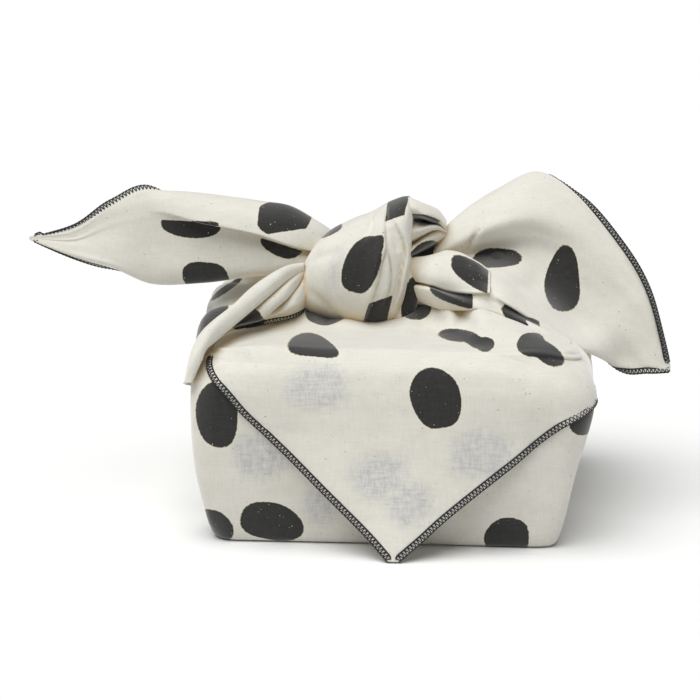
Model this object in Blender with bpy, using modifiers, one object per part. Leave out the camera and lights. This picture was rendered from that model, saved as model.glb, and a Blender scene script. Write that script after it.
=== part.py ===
"""Furoshiki wrap: a square cloth folded round a box-shaped parcel and tied on top.

Metres, +Z up, +X to the right, the front facing -Y. The origin is the centre of the base.
The wrap is a single cloth, so a single solid holds the filled parcel, the corner that hangs
down the front, the two gathers, the knot and the two free corners, called ears.
The tables are in millimetres. Each row is a section or a fold, named for what it is.
"""

import math

import bmesh
import bpy
from mathutils import Vector

MM = 0.001
OBJECT_NAME = "furoshiki_wrap"
CLOTH_NAME = "furoshiki_cloth"
CLOTH_COLOUR = (0.80, 0.78, 0.71, 1.0)
CLOTH_ROUGHNESS = 0.9

# The parcel: level sections from the base up, with the four half sizes and the corner radius.
PARCEL_SECTIONS = (
    # name, height, left, right, front, back, corner radius
    ("base", 0.0, 79.0, 80.5, 79.6, 79.0, 9.0),
    ("base edge", 1.4, 82.0, 83.2, 82.3, 82.0, 11.0),
    ("foot", 6.0, 84.4, 85.4, 84.2, 84.4, 12.0),
    ("low side", 30.0, 90.0, 91.0, 88.0, 88.0, 13.0),
    ("middle", 52.0, 92.2, 96.5, 90.0, 90.0, 14.0),
    ("high side", 69.0, 92.5, 100.0, 91.0, 91.0, 15.0),
    ("shoulder", 80.0, 91.5, 98.0, 90.0, 90.0, 17.0),
    ("shoulder top", 88.5, 86.0, 92.0, 85.5, 86.0, 20.0),
    ("top edge", 92.8, 76.0, 82.0, 77.0, 77.0, 24.0),
    ("top", 94.6, 58.0, 62.0, 58.0, 58.0, 26.0),
    ("crown", 95.6, 26.0, 28.0, 26.0, 26.0, 18.0),
)
PARCEL_STEPS = 2
CORNER_STEPS = 6
SIDE_STEPS = 6

# The hanging corner: rows from its tip on the ground, up the front and over the shoulder.
# Its two edges are measured round the parcel from the middle of the front.
FLAP_ROWS = (
    # name, depth of the middle, height, left edge, right edge
    ("tip", -110.8, 0.8, 4.6, 9.4),
    ("near the tip", -107.4, 10.0, -4.0, 20.5),
    ("low", -104.2, 21.0, -15.0, 33.0),
    ("middle", -99.4, 44.0, -38.0, 62.0),
    ("high", -96.6, 64.0, -58.5, 87.0),
    ("right corner", -95.6, 74.0, -68.0, 103.0),
    ("under the shoulder", -94.4, 81.0, -75.5, 111.0),
    ("shoulder", -91.0, 89.5, -83.5, 114.0),
    ("top edge", -82.0, 95.2, -84.0, 108.0),
    ("on the top", -66.0, 96.8, -76.0, 90.0),
    ("end on the top", -46.0, 97.4, -54.0, 64.0),
)
FLAP_COLUMNS = 15
FLAP_STEPS = 2
FLAP_SKIN = 1.4
FLAP_THICKNESS = 2.2
FLAP_SIDE_LEAN = 0.04
FLAP_WRAP_START = 0.75
FLAP_SHOULDER_HEIGHT = 89.5
FLAP_SHOULDER_DROP = 0.35

# The gathers: folds that climb each side of the parcel to the knot.
LEFT_GATHER_FOLDS = (
    # name, foot, shoulder, knot
    ("front border", (-80, -82, 78), (-72, -64, 93), (-38, -20, 101)),
    ("front slope", (-84, -82, 64), (-85, -76, 94), (-39, -20, 113)),
    ("front valley", (-88, -64, 40), (-91, -58, 91), (-39, -14, 118)),
    ("front crest", (-88, -42, 30), (-94, -36, 96), (-40, -10, 124)),
    ("middle valley", (-88, -12, 30), (-91, -10, 90), (-40, -6, 118)),
    ("back crest", (-88, 26, 30), (-96, 24, 98), (-39, -2, 125)),
    ("back valley", (-88, 48, 34), (-92, 47, 91), (-38, 2, 116)),
    ("rear crest", (-88, 68, 44), (-95, 64, 97), (-36, 6, 112)),
    ("rear border", (-80, 82, 76), (-74, 72, 92), (-34, 8, 100)),
)
RIGHT_GATHER_FOLDS = (
    # name, foot, shoulder, knot
    ("front border", (84, -78, 78), (76, -64, 92), (12, -18, 101)),
    ("front slope", (90, -74, 64), (90, -72, 91), (14, -20, 112)),
    ("front valley", (92, -54, 48), (94, -50, 90), (14, -12, 117)),
    ("front crest", (91, -28, 40), (97, -26, 95), (14, -8, 122)),
    ("middle valley", (91, 2, 40), (96, 2, 91), (14, -4, 116)),
    ("back crest", (91, 32, 40), (98, 30, 98), (13, 0, 121)),
    ("back valley", (93, 54, 46), (95, 52, 92), (12, 4, 112)),
    ("rear crest", (94, 70, 56), (96, 68, 97), (11, 8, 110)),
    ("rear border", (84, 82, 76), (78, 74, 92), (10, 10, 100)),
)
GATHER_STEPS = 3
GATHER_SAG = 2.5
GATHER_HEARTS = {"left": Vector((-34.0, 0.0, 46.0)), "right": Vector((30.0, 0.0, 46.0))}
GATHER_HEART_SHARE = 0.4

# The knot: upright sections of its front wrap and of the wrap behind it, from left to right.
KNOT_LEAN = -0.05
FRONT_WRAP_SECTIONS = (
    # name, place, bottom, top, front, back
    ("left end", -46.0, 106.0, 117.0, -19.0, -6.0),
    ("left lip", -44.4, 102.0, 123.0, -25.0, 1.0),
    ("left shoulder", -40.0, 99.4, 131.5, -30.0, 7.0),
    ("smooth part", -32.0, 96.8, 140.0, -34.5, 12.0),
    ("middle", -21.0, 94.0, 146.0, -37.0, 15.0),
    ("before the first pleat", -12.0, 92.8, 149.5, -37.8, 16.0),
    ("first pleat", -10.4, 93.6, 149.2, -36.4, 15.0),
    ("second band", -5.5, 92.4, 153.2, -37.2, 16.0),
    ("before the second pleat", -1.4, 92.8, 155.2, -36.4, 16.0),
    ("second pleat", 0.2, 94.0, 154.8, -34.8, 15.0),
    ("third band", 4.0, 94.6, 157.2, -34.2, 14.0),
    ("right lip", 7.6, 98.0, 156.6, -31.0, 12.0),
    ("right end", 9.6, 108.0, 150.0, -25.0, 8.0),
)
REAR_WRAP_SECTIONS = (
    # name, place, bottom, top, front, back
    ("left end", 0.0, 118.0, 150.0, -10.0, 14.0),
    ("left part", 6.0, 104.0, 153.0, -16.0, 20.0),
    ("middle", 15.0, 102.0, 148.5, -16.0, 24.0),
    ("right part", 22.0, 106.0, 142.5, -14.0, 24.0),
    ("right lip", 27.0, 112.0, 135.0, -8.0, 18.0),
    ("right end", 29.0, 118.0, 128.0, -2.0, 10.0),
)
WRAP_STEPS = 2
WRAP_COUNT = 24
WRAP_SQUARENESS = 2.3

# The main folds that stand up as rolls: the middle line of each with its radius.
FOLD_ROLLS = {
    "left front roll": (
        # across, depth, height, radius
        (-89.5, -81.0, 72, 2.0),
        (-88.0, -81.0, 87, 3.8),
        (-84.0, -77.0, 96, 5.0),
        (-78.0, -66.0, 102.5, 4.9),
        (-70.0, -54.0, 107.5, 4.5),
        (-61.0, -42.0, 113.5, 4.2),
        (-52.0, -32.0, 119.5, 3.3),
        (-40.0, -22.0, 125, 2.4),
    ),
    "left middle roll": (
        (-63.0, -57.0, 98, 3.2),
        (-58.0, -50.0, 106, 4.0),
        (-52.0, -40.0, 112, 3.4),
        (-41.0, -26.0, 120, 2.4),
    ),
    "left flattened fold": (
        (-55.0, -56.0, 99, 2.4),
        (-50.0, -48.0, 104, 4.6),
        (-45.0, -38.0, 108, 5.4),
        (-40.0, -28.0, 112, 4.6),
    ),
    "right front roll": (
        (10.0, -20.0, 124, 2.4),
        (19.0, -23.0, 126, 4.0),
        (29.0, -25.0, 126, 6.0),
        (38.0, -27.0, 121, 6.4),
        (48.0, -28.0, 114, 5.0),
        (60.0, -28.0, 106, 3.2),
    ),
    "right lower roll": (
        (8.0, -20.0, 112, 5.2),
        (20.0, -26.0, 111, 5.2),
        (37.0, -40.0, 109, 4.8),
        (50.0, -50.0, 108, 4.6),
        (64.0, -60.0, 105, 4.4),
        (76.0, -69.0, 101, 4.2),
        (87.0, -77.0, 95, 4.0),
        (92.0, -80.0, 88, 2.6),
    ),
    "strip beside the knot": (
        (8.0, -18.0, 127, 3.0),
        (10.4, -21.0, 117, 4.4),
        (8.6, -24.0, 106, 4.6),
        (3.0, -25.0, 98, 3.6),
    ),
    "knot top fold": (
        (2.0, -8.0, 152, 3.4),
        (9.0, -5.0, 151.5, 4.2),
        (16.0, -1.0, 148, 4.4),
        (22.0, 5.0, 143, 4.2),
        (25.0, 11.0, 136, 3.2),
    ),
    "knot middle fold": (
        (27.0, 6.0, 136, 2.6),
        (20.0, -2.0, 139, 3.6),
        (14.0, -9.0, 137, 3.6),
        (5.0, -15.0, 132, 2.6),
    ),
    "knot lower fold": (
        (27.0, 6.0, 129, 2.6),
        (21.0, -3.0, 131, 3.8),
        (14.0, -12.0, 129, 3.8),
        (5.0, -17.0, 125, 2.6),
    ),
    "left corner pleat": (
        (-87.0, -85.0, 70, 1.0),
        (-87.0, -84.6, 50, 1.9),
        (-85.4, -83.6, 30, 1.9),
        (-82.6, -81.0, 10, 1.2),
    ),
    "right corner pleat": (
        (88.5, -84.6, 36, 1.0),
        (86.4, -83.8, 24, 1.9),
        (84.0, -82.2, 12, 1.9),
        (82.0, -80.6, 4, 1.2),
    ),
    "crease under the knot": (
        (-46.0, -20.0, 95, 2.6),
        (-40.0, -24.0, 97, 4.0),
        (-30.0, -30.0, 95, 4.0),
        (-16.0, -34.0, 93, 3.0),
    ),
}
ROLL_SIDE_STEPS = 2
ROLL_LENGTH_STEPS = 2

# The ears: upright sections of the two free corners. Each fold gives its depth and height
# at every station, from the hem behind the top edge, over the front, to the hem behind the
# bottom edge.
LEFT_EAR_STATIONS = (-38, -52, -68, -95, -121, -142, -160, -182)
LEFT_EAR_FOLDS = {
    "upper hem": ((8, 126), (14, 128), (16, 128), (14, 130), (0, 159), (-5, 153), (-10, 141), (-14, 137.0)),
    "back of the top": ((7, 134), (10, 144), (11, 147), (10, 150), (-3, 158), (-6, 151), (-10, 140), (-14, 136.6)),
    "top fold": ((-1, 138), (0, 149), (1, 152), (1, 156), (-5, 156), (-7, 149), (-11, 138), (-14, 136.1)),
    "strip": ((-9, 136), (-11, 144), (-11, 147), (-9, 152), (-7, 153), (-8, 147), (-11, 137), (-14, 135.7)),
    "strip lip": ((-11, 130), (-16, 134), (-16, 139), (-14, 144), (-9, 149), (-8, 144), (-12, 135), (-14, 135.3)),
    "tuck": ((-6, 131), (-10, 138), (-10, 144), (-9, 147), (-8, 146), (-9, 141), (-12, 134), (-14, 134.8)),
    "face top": ((-6, 128), (-7, 131), (-7, 137), (-7, 142), (-8, 142), (-9, 138), (-12, 133), (-14, 134.4)),
    "face": ((-9, 126), (-11, 127), (-10, 129), (-8, 130), (-7, 131), (-10, 131), (-13, 131), (-14, 133.9)),
    "lower face": ((-10, 124), (-12, 122), (-11, 120), (-10, 118), (-9, 119), (-11, 125), (-13, 129), (-14, 133.5)),
    "bottom fold": ((-8, 121), (-9, 118), (-7, 116), (-6, 112), (-7, 112), (-12, 122), (-14, 127), (-14, 133.1)),
    "back of the bottom": ((0, 121), (0, 119), (1, 118), (3, 115), (0, 112.6), (-11, 120), (-14, 126), (-14, 132.6)),
    "lower hem": ((3, 127), (5, 133), (7, 138), (7, 134), (5, 117), (-9, 119), (-14, 125), (-14, 132.2)),
}
RIGHT_EAR_STATIONS = (16, 33, 53, 72, 92, 112, 128, 139)
RIGHT_EAR_FOLDS = {
    "upper hem": ((15, 118), (26, 124), (36, 124), (28, 160), (16, 156), (4, 137), (-4, 112), (-12, 80.0)),
    "back of the top": ((11, 126), (20, 138), (31, 150), (26, 164), (14, 155), (3, 134), (-5, 109), (-12, 79.2)),
    "top fold": ((3, 129), (8, 146), (18, 158), (21, 165), (12, 154), (2, 130), (-5, 107), (-12, 78.4)),
    "upper bulge": ((-3, 127), (-3, 142), (2, 152), (9, 158), (6, 148), (0, 126), (-6, 104), (-12, 77.6)),
    "bulge crest": ((-6, 125), (-9, 136), (-8, 145), (-2, 147), (0, 139), (-2, 121), (-7, 100), (-12, 76.8)),
    "hollow top": ((-6, 123), (-8, 131), (-4, 137), (1, 138), (-1, 129), (-4, 115), (-8, 96), (-12, 76.0)),
    "hollow floor": ((-5, 121), (-5, 126), (2, 128), (3, 129), (-1, 121), (-5, 108), (-9, 91), (-12, 75.2)),
    "ridge": ((-8, 119), (-13, 123), (-12, 120), (-5, 119), (-4, 112), (-7, 100), (-10, 86), (-12, 74.4)),
    "lower face": ((-10, 117), (-17, 119), (-18, 114), (-12, 107), (-9, 98), (-10, 90), (-11, 80), (-12, 73.6)),
    "bottom fold": ((-8, 114), (-14, 114), (-15, 110), (-13, 97), (-12, 86), (-11, 80), (-12, 75), (-12, 72.8)),
    "back of the bottom": ((-1, 113), (-4, 115), (-5, 112), (-5, 98), (-6, 83), (-11, 74), (-12, 73), (-12, 72.0)),
    "lower hem": ((5, 117), (8, 126), (12, 134), (8, 122), (3, 96), (-8, 72), (-13, 71), (-12, 71.2)),
}
EAR_STEPS = 2
EAR_THICKNESS = 1.2


def clear_scene():
    """Remove every object that the file holds."""
    for old in list(bpy.data.objects):
        bpy.data.objects.remove(old, do_unlink=True)


def make_collection(name):
    """Return a new collection in the scene."""
    collection = bpy.data.collections.new(name)
    bpy.context.scene.collection.children.link(collection)
    return collection


def spline(points, share):
    """Return the place on a smooth curve through the points, at a share of 0 to 1."""
    span = share * (len(points) - 1)
    start = min(int(span), len(points) - 2)
    part = span - start
    before, here = points[max(start - 1, 0)], points[start]
    after, beyond = points[start + 1], points[min(start + 2, len(points) - 1)]
    return tuple(
        0.5 * (2 * b + part * (c - a) + part ** 2 * (2 * a - 5 * b + 4 * c - d)
               + part ** 3 * (3 * b - a - 3 * c + d))
        for a, b, c, d in zip(before, here, after, beyond)
    )


def smooth_rows(points, steps):
    """Return the points with steps - 1 more between each two, on a smooth curve."""
    count = (len(points) - 1) * steps
    return [spline(points, index / count) for index in range(count + 1)]


def mesh_from_grid(name, grid, closed_rows=False, caps=False):
    """Return a mesh over rows of points in millimetres, each quad split along its short diagonal.

    closed_rows joins each row's end to its start, and caps closes the first and last row.
    """
    shape = bmesh.new()
    rows = [[shape.verts.new(Vector(point) * MM) for point in row] for row in grid]
    width = len(rows[0])
    for low, high in zip(rows, rows[1:]):
        for left in range(width if closed_rows else width - 1):
            right = (left + 1) % width
            shape.faces.new((low[left], low[right], high[right], high[left]))
    if caps:
        shape.faces.new(reversed(rows[0]))
        shape.faces.new(rows[-1])
    bmesh.ops.recalc_face_normals(shape, faces=shape.faces)
    bmesh.ops.triangulate(shape, faces=shape.faces, quad_method="SHORT_EDGE")
    mesh = bpy.data.meshes.new(name)
    shape.to_mesh(mesh)
    shape.free()
    return mesh


def add_object(name, mesh, collection):
    """Return a new object that holds the mesh."""
    item = bpy.data.objects.new(name, mesh)
    collection.objects.link(item)
    return item


def rounded_ring(height, left, right, front, back, radius):
    """Return a level ring of points round a rectangle with round corners."""
    corners = (
        (right - radius, -front + radius, -90.0),
        (right - radius, back - radius, 0.0),
        (-left + radius, back - radius, 90.0),
        (-left + radius, -front + radius, 180.0),
    )
    ring = []
    for index, (across, deep, start) in enumerate(corners):
        for step in range(CORNER_STEPS + 1):
            angle = math.radians(start + 90.0 * step / CORNER_STEPS)
            ring.append((across + radius * math.cos(angle), deep + radius * math.sin(angle), height))
        next_across, next_deep, next_start = corners[(index + 1) % len(corners)]
        angle = math.radians(next_start)
        end = (next_across + radius * math.cos(angle), next_deep + radius * math.sin(angle))
        begin = ring[-1]
        for step in range(1, SIDE_STEPS):
            part = step / SIDE_STEPS
            ring.append((begin[0] + (end[0] - begin[0]) * part, begin[1] + (end[1] - begin[1]) * part, height))
    return ring


def build_parcel(collection):
    """Return the filled parcel: a rounded box that narrows to its base."""
    sizes = [row[1:] for row in PARCEL_SECTIONS]
    base = rounded_ring(*sizes[0])
    rings = [base] + [rounded_ring(*row) for row in smooth_rows(sizes[1:], PARCEL_STEPS)]
    return add_object(CLOTH_NAME, mesh_from_grid(CLOTH_NAME, rings, closed_rows=True, caps=True), collection)


def parcel_size(height):
    """Return the left, right, front, back and corner sizes of the parcel at a height."""
    rows = smooth_rows([row[1:] for row in PARCEL_SECTIONS[1:]], PARCEL_STEPS)
    for low, high in zip(rows, rows[1:]):
        if height <= high[0]:
            part = max(height - low[0], 0.0) / (high[0] - low[0])
            return [a + (b - a) * part for a, b in zip(low[1:], high[1:])]
    return list(rows[-1][1:])


def round_corner(run, straight, radius):
    """Return the place across, the fall back and the turn at a length round a front corner."""
    turn = min(max(run - straight, 0.0) / radius, math.pi / 2)
    beyond = max(run - straight - radius * math.pi / 2, 0.0)
    across = min(run, straight) + radius * math.sin(turn)
    return across, radius * (1.0 - math.cos(turn)) + beyond, turn


def flap_point(row, share):
    """Return the outer point of the hanging corner, from its left edge, 0, to its right, 1."""
    deep, height, left, right = row
    run = left + (right - left) * share
    size_left, size_right, front, _, radius = parcel_size(min(height, FLAP_SHOULDER_HEIGHT))
    straight = (size_left if run < 0 else size_right) - radius
    stand_off = -front - deep
    if stand_off < 0.0:
        across, recess, _ = round_corner(abs(run), straight + stand_off, radius)
        drop = min(recess, radius) * FLAP_SHOULDER_DROP
        return (math.copysign(across, run), deep + recess, height - drop)
    across, recess, turn = round_corner(abs(run), straight, radius)
    close = min(max(abs(run) / straight - FLAP_WRAP_START, 0.0) / (1.0 - FLAP_WRAP_START), 1.0) ** 2
    gap = stand_off + (min(FLAP_SKIN, stand_off) - stand_off) * close
    edge = abs(2.0 * share - 1.0)
    gap -= min(max(gap - FLAP_SKIN, 0.0), (right - left) * FLAP_SIDE_LEAN) * edge ** 2
    return (math.copysign(across + gap * math.sin(turn), run), recess - front - gap * math.cos(turn), height)


def build_flap(collection):
    """Return the front corner of the cloth, which hangs to the ground in a point."""
    rows = smooth_rows([row[1:] for row in FLAP_ROWS], FLAP_STEPS)
    shares = [(1.0 - math.cos(math.pi * column / FLAP_COLUMNS)) / 2 for column in range(FLAP_COLUMNS + 1)]
    grid = [[flap_point(row, share) for share in shares] for row in rows]
    flap = add_object("hanging_corner", mesh_from_grid("hanging_corner", grid), collection)
    thicken(flap, FLAP_THICKNESS, -1.0)
    return flap


def thicken(item, thickness, offset):
    """Give an open sheet its thickness."""
    solidify = item.modifiers.new("thickness", "SOLIDIFY")
    solidify.thickness = thickness * MM
    solidify.offset = offset
    solidify.use_even_offset = False


def build_gather(name, folds, heart, collection):
    """Return a gather: folds that climb from the parcel's side to the knot, filled to the heart."""
    fold_lines = []
    for _, foot, shoulder, knot in folds:
        middle = [(a + b) / 2 for a, b in zip(shoulder, knot)]
        middle[2] -= GATHER_SAG
        fold_lines.append(smooth_rows([foot, shoulder, tuple(middle), knot], GATHER_STEPS))
    stations = [smooth_rows(list(station), GATHER_STEPS) for station in zip(*fold_lines)]
    grid = []
    for station in stations:
        hearts = [tuple(heart + (Vector(point) - heart) * GATHER_HEART_SHARE) for point in station]
        grid.append(station + hearts[::-1])
    return add_object(name, mesh_from_grid(name, grid, closed_rows=True, caps=True), collection)


def wrap_ring(place, bottom, top, front, back):
    """Return an upright ring of points round the knot's axis."""
    middle_deep, middle_high = (front + back) / 2, (bottom + top) / 2
    half_deep, half_high = (back - front) / 2, (top - bottom) / 2
    power = 2.0 / WRAP_SQUARENESS
    ring = []
    for index in range(WRAP_COUNT):
        angle = 2.0 * math.pi * index / WRAP_COUNT
        sine, cosine = math.sin(angle), math.cos(angle)
        deep = middle_deep + half_deep * math.copysign(abs(cosine) ** power, cosine)
        high = middle_high + half_high * math.copysign(abs(sine) ** power, sine)
        ring.append((place + KNOT_LEAN * (middle_high - high), deep, high))
    return ring


def build_wrap(name, sections, collection):
    """Return one wrap of the knot as a solid barrel with its pleats."""
    rings = [wrap_ring(*row) for row in smooth_rows([row[1:] for row in sections], WRAP_STEPS)]
    return add_object(name, mesh_from_grid(name, rings, closed_rows=True, caps=True), collection)


def build_roll(name, line, collection):
    """Return one rolled fold as a round bar that follows its middle line."""
    curve = bpy.data.curves.new(name, "CURVE")
    curve.dimensions = "3D"
    curve.bevel_depth = MM
    curve.bevel_resolution = ROLL_SIDE_STEPS
    curve.use_fill_caps = True
    places = smooth_rows(line, ROLL_LENGTH_STEPS)
    track = curve.splines.new("POLY")
    track.points.add(len(places) - 1)
    for point, (across, deep, high, radius) in zip(track.points, places):
        point.co = (across * MM, deep * MM, high * MM, 1.0)
        point.radius = radius
    bar = add_object(name + "_line", curve, collection)
    bpy.context.view_layer.update()
    evaluated = bar.evaluated_get(bpy.context.evaluated_depsgraph_get())
    mesh = bpy.data.meshes.new_from_object(evaluated)
    bpy.data.objects.remove(bar, do_unlink=True)
    shape = bmesh.new()
    shape.from_mesh(mesh)
    bmesh.ops.remove_doubles(shape, verts=shape.verts, dist=0.01 * MM)
    bmesh.ops.recalc_face_normals(shape, faces=shape.faces)
    shape.to_mesh(mesh)
    shape.free()
    return add_object(name, mesh, collection)


def build_ear(name, stations, folds, collection):
    """Return a free corner of the cloth: a sheet folded back along its top and bottom."""
    sections = []
    for index, across in enumerate(stations):
        sections.append([(across, *folds[fold][index]) for fold in folds])
    fold_lines = [smooth_rows(list(line), EAR_STEPS) for line in zip(*sections)]
    grid = [smooth_rows(list(section), EAR_STEPS) for section in zip(*fold_lines)]
    ear = add_object(name, mesh_from_grid(name, grid), collection)
    thicken(ear, EAR_THICKNESS, 0.0)
    return ear


def join_pieces(body, pieces):
    """Join every piece to the body, so that one closed solid is left."""
    for piece in pieces:
        piece.hide_render = True
        piece.display_type = "WIRE"
        join = body.modifiers.new(piece.name, "BOOLEAN")
        join.operation = "UNION"
        join.solver = "MANIFOLD"
        join.object = piece


def cloth_material():
    """Return the plain unbleached cotton of the wrap."""
    material = bpy.data.materials.new("unbleached_cotton")
    material.use_nodes = True
    shader = material.node_tree.nodes["Principled BSDF"]
    shader.inputs["Base Color"].default_value = CLOTH_COLOUR
    shader.inputs["Roughness"].default_value = CLOTH_ROUGHNESS
    shader.inputs["Metallic"].default_value = 0.0
    return material


def main():
    """Build the wrap."""
    clear_scene()
    parts = make_collection(OBJECT_NAME)
    pieces = make_collection(OBJECT_NAME + "_pieces")
    cloth = build_parcel(parts)
    joined = [
        build_flap(pieces),
        build_gather("left_gather", LEFT_GATHER_FOLDS, GATHER_HEARTS["left"], pieces),
        build_gather("right_gather", RIGHT_GATHER_FOLDS, GATHER_HEARTS["right"], pieces),
        build_wrap("front_wrap", FRONT_WRAP_SECTIONS, pieces),
        build_wrap("rear_wrap", REAR_WRAP_SECTIONS, pieces),
    ]
    joined += [build_roll(name.replace(" ", "_"), line, pieces) for name, line in FOLD_ROLLS.items()]
    joined.append(build_ear("left_ear", LEFT_EAR_STATIONS, LEFT_EAR_FOLDS, pieces))
    joined.append(build_ear("right_ear", RIGHT_EAR_STATIONS, RIGHT_EAR_FOLDS, pieces))
    join_pieces(cloth, joined)
    cloth.data.materials.append(cloth_material())
    cloth.data.shade_smooth()


main()
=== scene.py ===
"""Dress the furoshiki wrap: one square of printed cotton folded round a parcel and tied on top.

Sizes are in millimetres in the model's own frame: +X to the right, +Y to the back, +Z up.
The cloth is built in pieces that meet where the folds hide their edges: the layer round
the parcel, the corner that hangs down the front, the gathers with the knot, and the two free
corners, called ears. The overlocked edge is sewn on as real thread.
"""

import logging
import math
from dataclasses import dataclass, field
from enum import Enum

import bpy
import numpy as np
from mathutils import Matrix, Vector
from mathutils.bvhtree import BVHTree


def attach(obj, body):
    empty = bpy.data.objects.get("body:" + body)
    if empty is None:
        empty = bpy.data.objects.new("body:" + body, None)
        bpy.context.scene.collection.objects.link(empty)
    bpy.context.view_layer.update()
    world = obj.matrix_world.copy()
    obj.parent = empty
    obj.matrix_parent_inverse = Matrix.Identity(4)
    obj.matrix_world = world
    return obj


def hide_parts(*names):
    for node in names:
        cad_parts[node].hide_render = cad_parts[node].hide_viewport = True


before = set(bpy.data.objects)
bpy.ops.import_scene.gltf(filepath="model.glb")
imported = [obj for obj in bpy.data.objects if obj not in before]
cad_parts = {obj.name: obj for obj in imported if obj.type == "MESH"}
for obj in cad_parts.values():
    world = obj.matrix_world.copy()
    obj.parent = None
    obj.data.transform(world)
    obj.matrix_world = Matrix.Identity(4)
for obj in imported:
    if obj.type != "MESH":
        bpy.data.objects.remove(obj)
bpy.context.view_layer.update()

LOG = logging.getLogger("furoshiki")

MM = 0.001
BODY = "root"
NODE = "furoshiki_cloth"
Array = np.ndarray


# ---------------------------------------------------------------- the cloth's shape, in tables

PARCEL_SECTIONS = (
    # name, height, left, right, front, back, corner radius
    ("base", 0, 79, 80.5, 79.6, 79, 9),
    ("base edge", 1.4, 82, 83.2, 82.3, 82, 11),
    ("foot", 6, 84.4, 85.4, 84.2, 84.4, 12),
    ("low side", 30, 90, 91, 88, 88, 13),
    ("middle", 52, 92.2, 96.5, 90, 90, 14),
    ("high side", 69, 92.5, 100, 91, 91, 15),
    ("shoulder", 80, 91.5, 98, 90, 90, 17),
    ("shoulder top", 88.5, 86, 92, 85.5, 86, 20),
    ("top edge", 92.8, 76, 82, 77, 77, 24),
    ("top", 94.6, 58, 62, 58, 58, 26),
    ("crown", 95.6, 26, 28, 26, 26, 18),
)

FLAP_ROWS = (
    # name, depth of the middle, height, left edge, right edge
    ("tip", -110.8, 0.8, 4.6, 9.4),
    ("near the tip", -107.4, 10, -4.6, 20.5),
    ("low", -104.2, 21, -16.6, 33),
    ("middle", -99.4, 44, -41.8, 62),
    ("high", -96.6, 64, -63.5, 87),
    ("right corner", -95.6, 74, -72.5, 114),
    ("under the shoulder", -94.4, 81, -79, 138),
    ("shoulder", -91, 89.5, -86.5, 146),
    ("beyond the shoulder", -82, 95.2, -89, 148),
)

# Where the front corner goes on over the top and in under the gathers and the knot, at shares of
# its width from left to right.
CORNER_TOP = (
    # share, top edge, flat top, foot of the slope, slope, under the folds, out of sight
    (0, (-82.4, -70, 90.6), (-82.2, -66, 91.2), (-82, -62, 92), (-81.5, -58, 92.5), (-81, -53, 93),
     (-80, -46, 93)),
    (0.06, (-75, -79, 93), (-76, -76, 93.8), (-76.5, -71, 93), (-77, -64, 93.2), (-77, -54, 95),
     (-76, -45, 96)),
    (0.11, (-66, -82, 95), (-67.5, -80, 95.6), (-68.5, -72, 95), (-69, -60, 95.2), (-69, -44, 96.6),
     (-68, -36, 97)),
    (0.165, (-52.7, -82.4, 95.4), (-55, -79, 96.2), (-56, -66, 96.4), (-57, -49, 96.8),
     (-57.8, -34, 97.4), (-57, -26, 98)),
    (0.215, (-42.8, -82.4, 95.2), (-45, -76, 96.4), (-46, -55, 97.2), (-47, -38, 98), (-46.5, -27, 100),
     (-46, -20, 102)),
    (0.245, (-36.5, -82.4, 95.1), (-38.5, -75, 96.4), (-39.5, -54, 97.4), (-40.5, -36, 99),
     (-41, -24, 101.4), (-41, -16, 103)),
    (0.283, (-27.5, -82.4, 95), (-30, -75, 96.2), (-31, -58, 96.8), (-31.5, -44, 96.8),
     (-31.6, -32, 97.2), (-32, -20, 98)),
    (0.33, (-17.3, -82.4, 94.9), (-19, -75, 96), (-20, -60, 96.8), (-21, -46, 97.4), (-21.6, -34, 98.6),
     (-22, -20, 99)),
    (0.39, (-6, -82.4, 95), (-7, -75, 96), (-8, -60, 96.6), (-8, -48, 96.8), (-8, -38, 97), (-8, -22, 97)),
    (0.443, (5.3, -82.4, 95.1), (5, -75, 96.2), (4, -58, 97), (3.5, -44, 98), (3, -33, 99), (3, -20, 100)),
    (0.475, (12, -82.4, 95.2), (11, -75, 96.4), (10.5, -57, 97.4), (10, -42, 99.2), (9.5, -30, 101.4),
     (9, -20, 103)),
    (0.51, (20, -82.4, 95), (19, -75, 96.2), (18, -58, 96.8), (17.5, -40, 98), (17, -24, 105),
     (17, -16, 108)),
    (0.557, (30.7, -82.4, 94.9), (30, -76, 96.2), (29, -58, 97.6), (28.4, -46, 102), (28, -38, 107),
     (28, -24, 108)),
    (0.59, (38, -82.6, 94.8), (37, -77, 96), (36, -62, 96.8), (35.5, -48, 99.6), (35, -38, 106),
     (35, -28, 108)),
    (0.632, (47, -82.8, 94.8), (46, -79, 95.8), (45, -69, 97.2), (44.2, -58, 103.4), (43.9, -46, 109),
     (43, -38, 110)),
    (0.698, (60.4, -83, 95), (60, -79, 96.2), (59, -71, 98.4), (58.6, -60, 102.2), (58.5, -48, 105.2),
     (58, -40, 106)),
    (0.774, (75.7, -81, 94.6), (75.6, -77, 96.4), (75.3, -71, 97.8), (75, -64, 98.8), (74.7, -54, 99.4),
     (74, -46, 100)),
    (0.83, (85.6, -75.6, 92.2), (86, -74, 93.6), (86.2, -73, 94.6), (86.4, -72, 95), (86.6, -69, 95.4),
     (86, -62, 96)),
    (0.88, (91.8, -67.4, 90.6), (91.8, -66.4, 91.6), (91.6, -65, 92.4), (91.4, -63, 93), (91, -60, 93.6),
     (89, -54, 94)),
    (0.93, (92.4, -57, 90.6), (92.3, -56, 91.4), (92, -55, 92), (91.6, -53.4, 92.6), (91, -50, 93),
     (89, -45, 93)),
    (1, (91.6, -31, 88), (91, -30.5, 88.6), (90.4, -30, 89), (89.6, -29.4, 89.2), (88.6, -29, 89.2),
     (86, -28, 89)),
)

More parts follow.
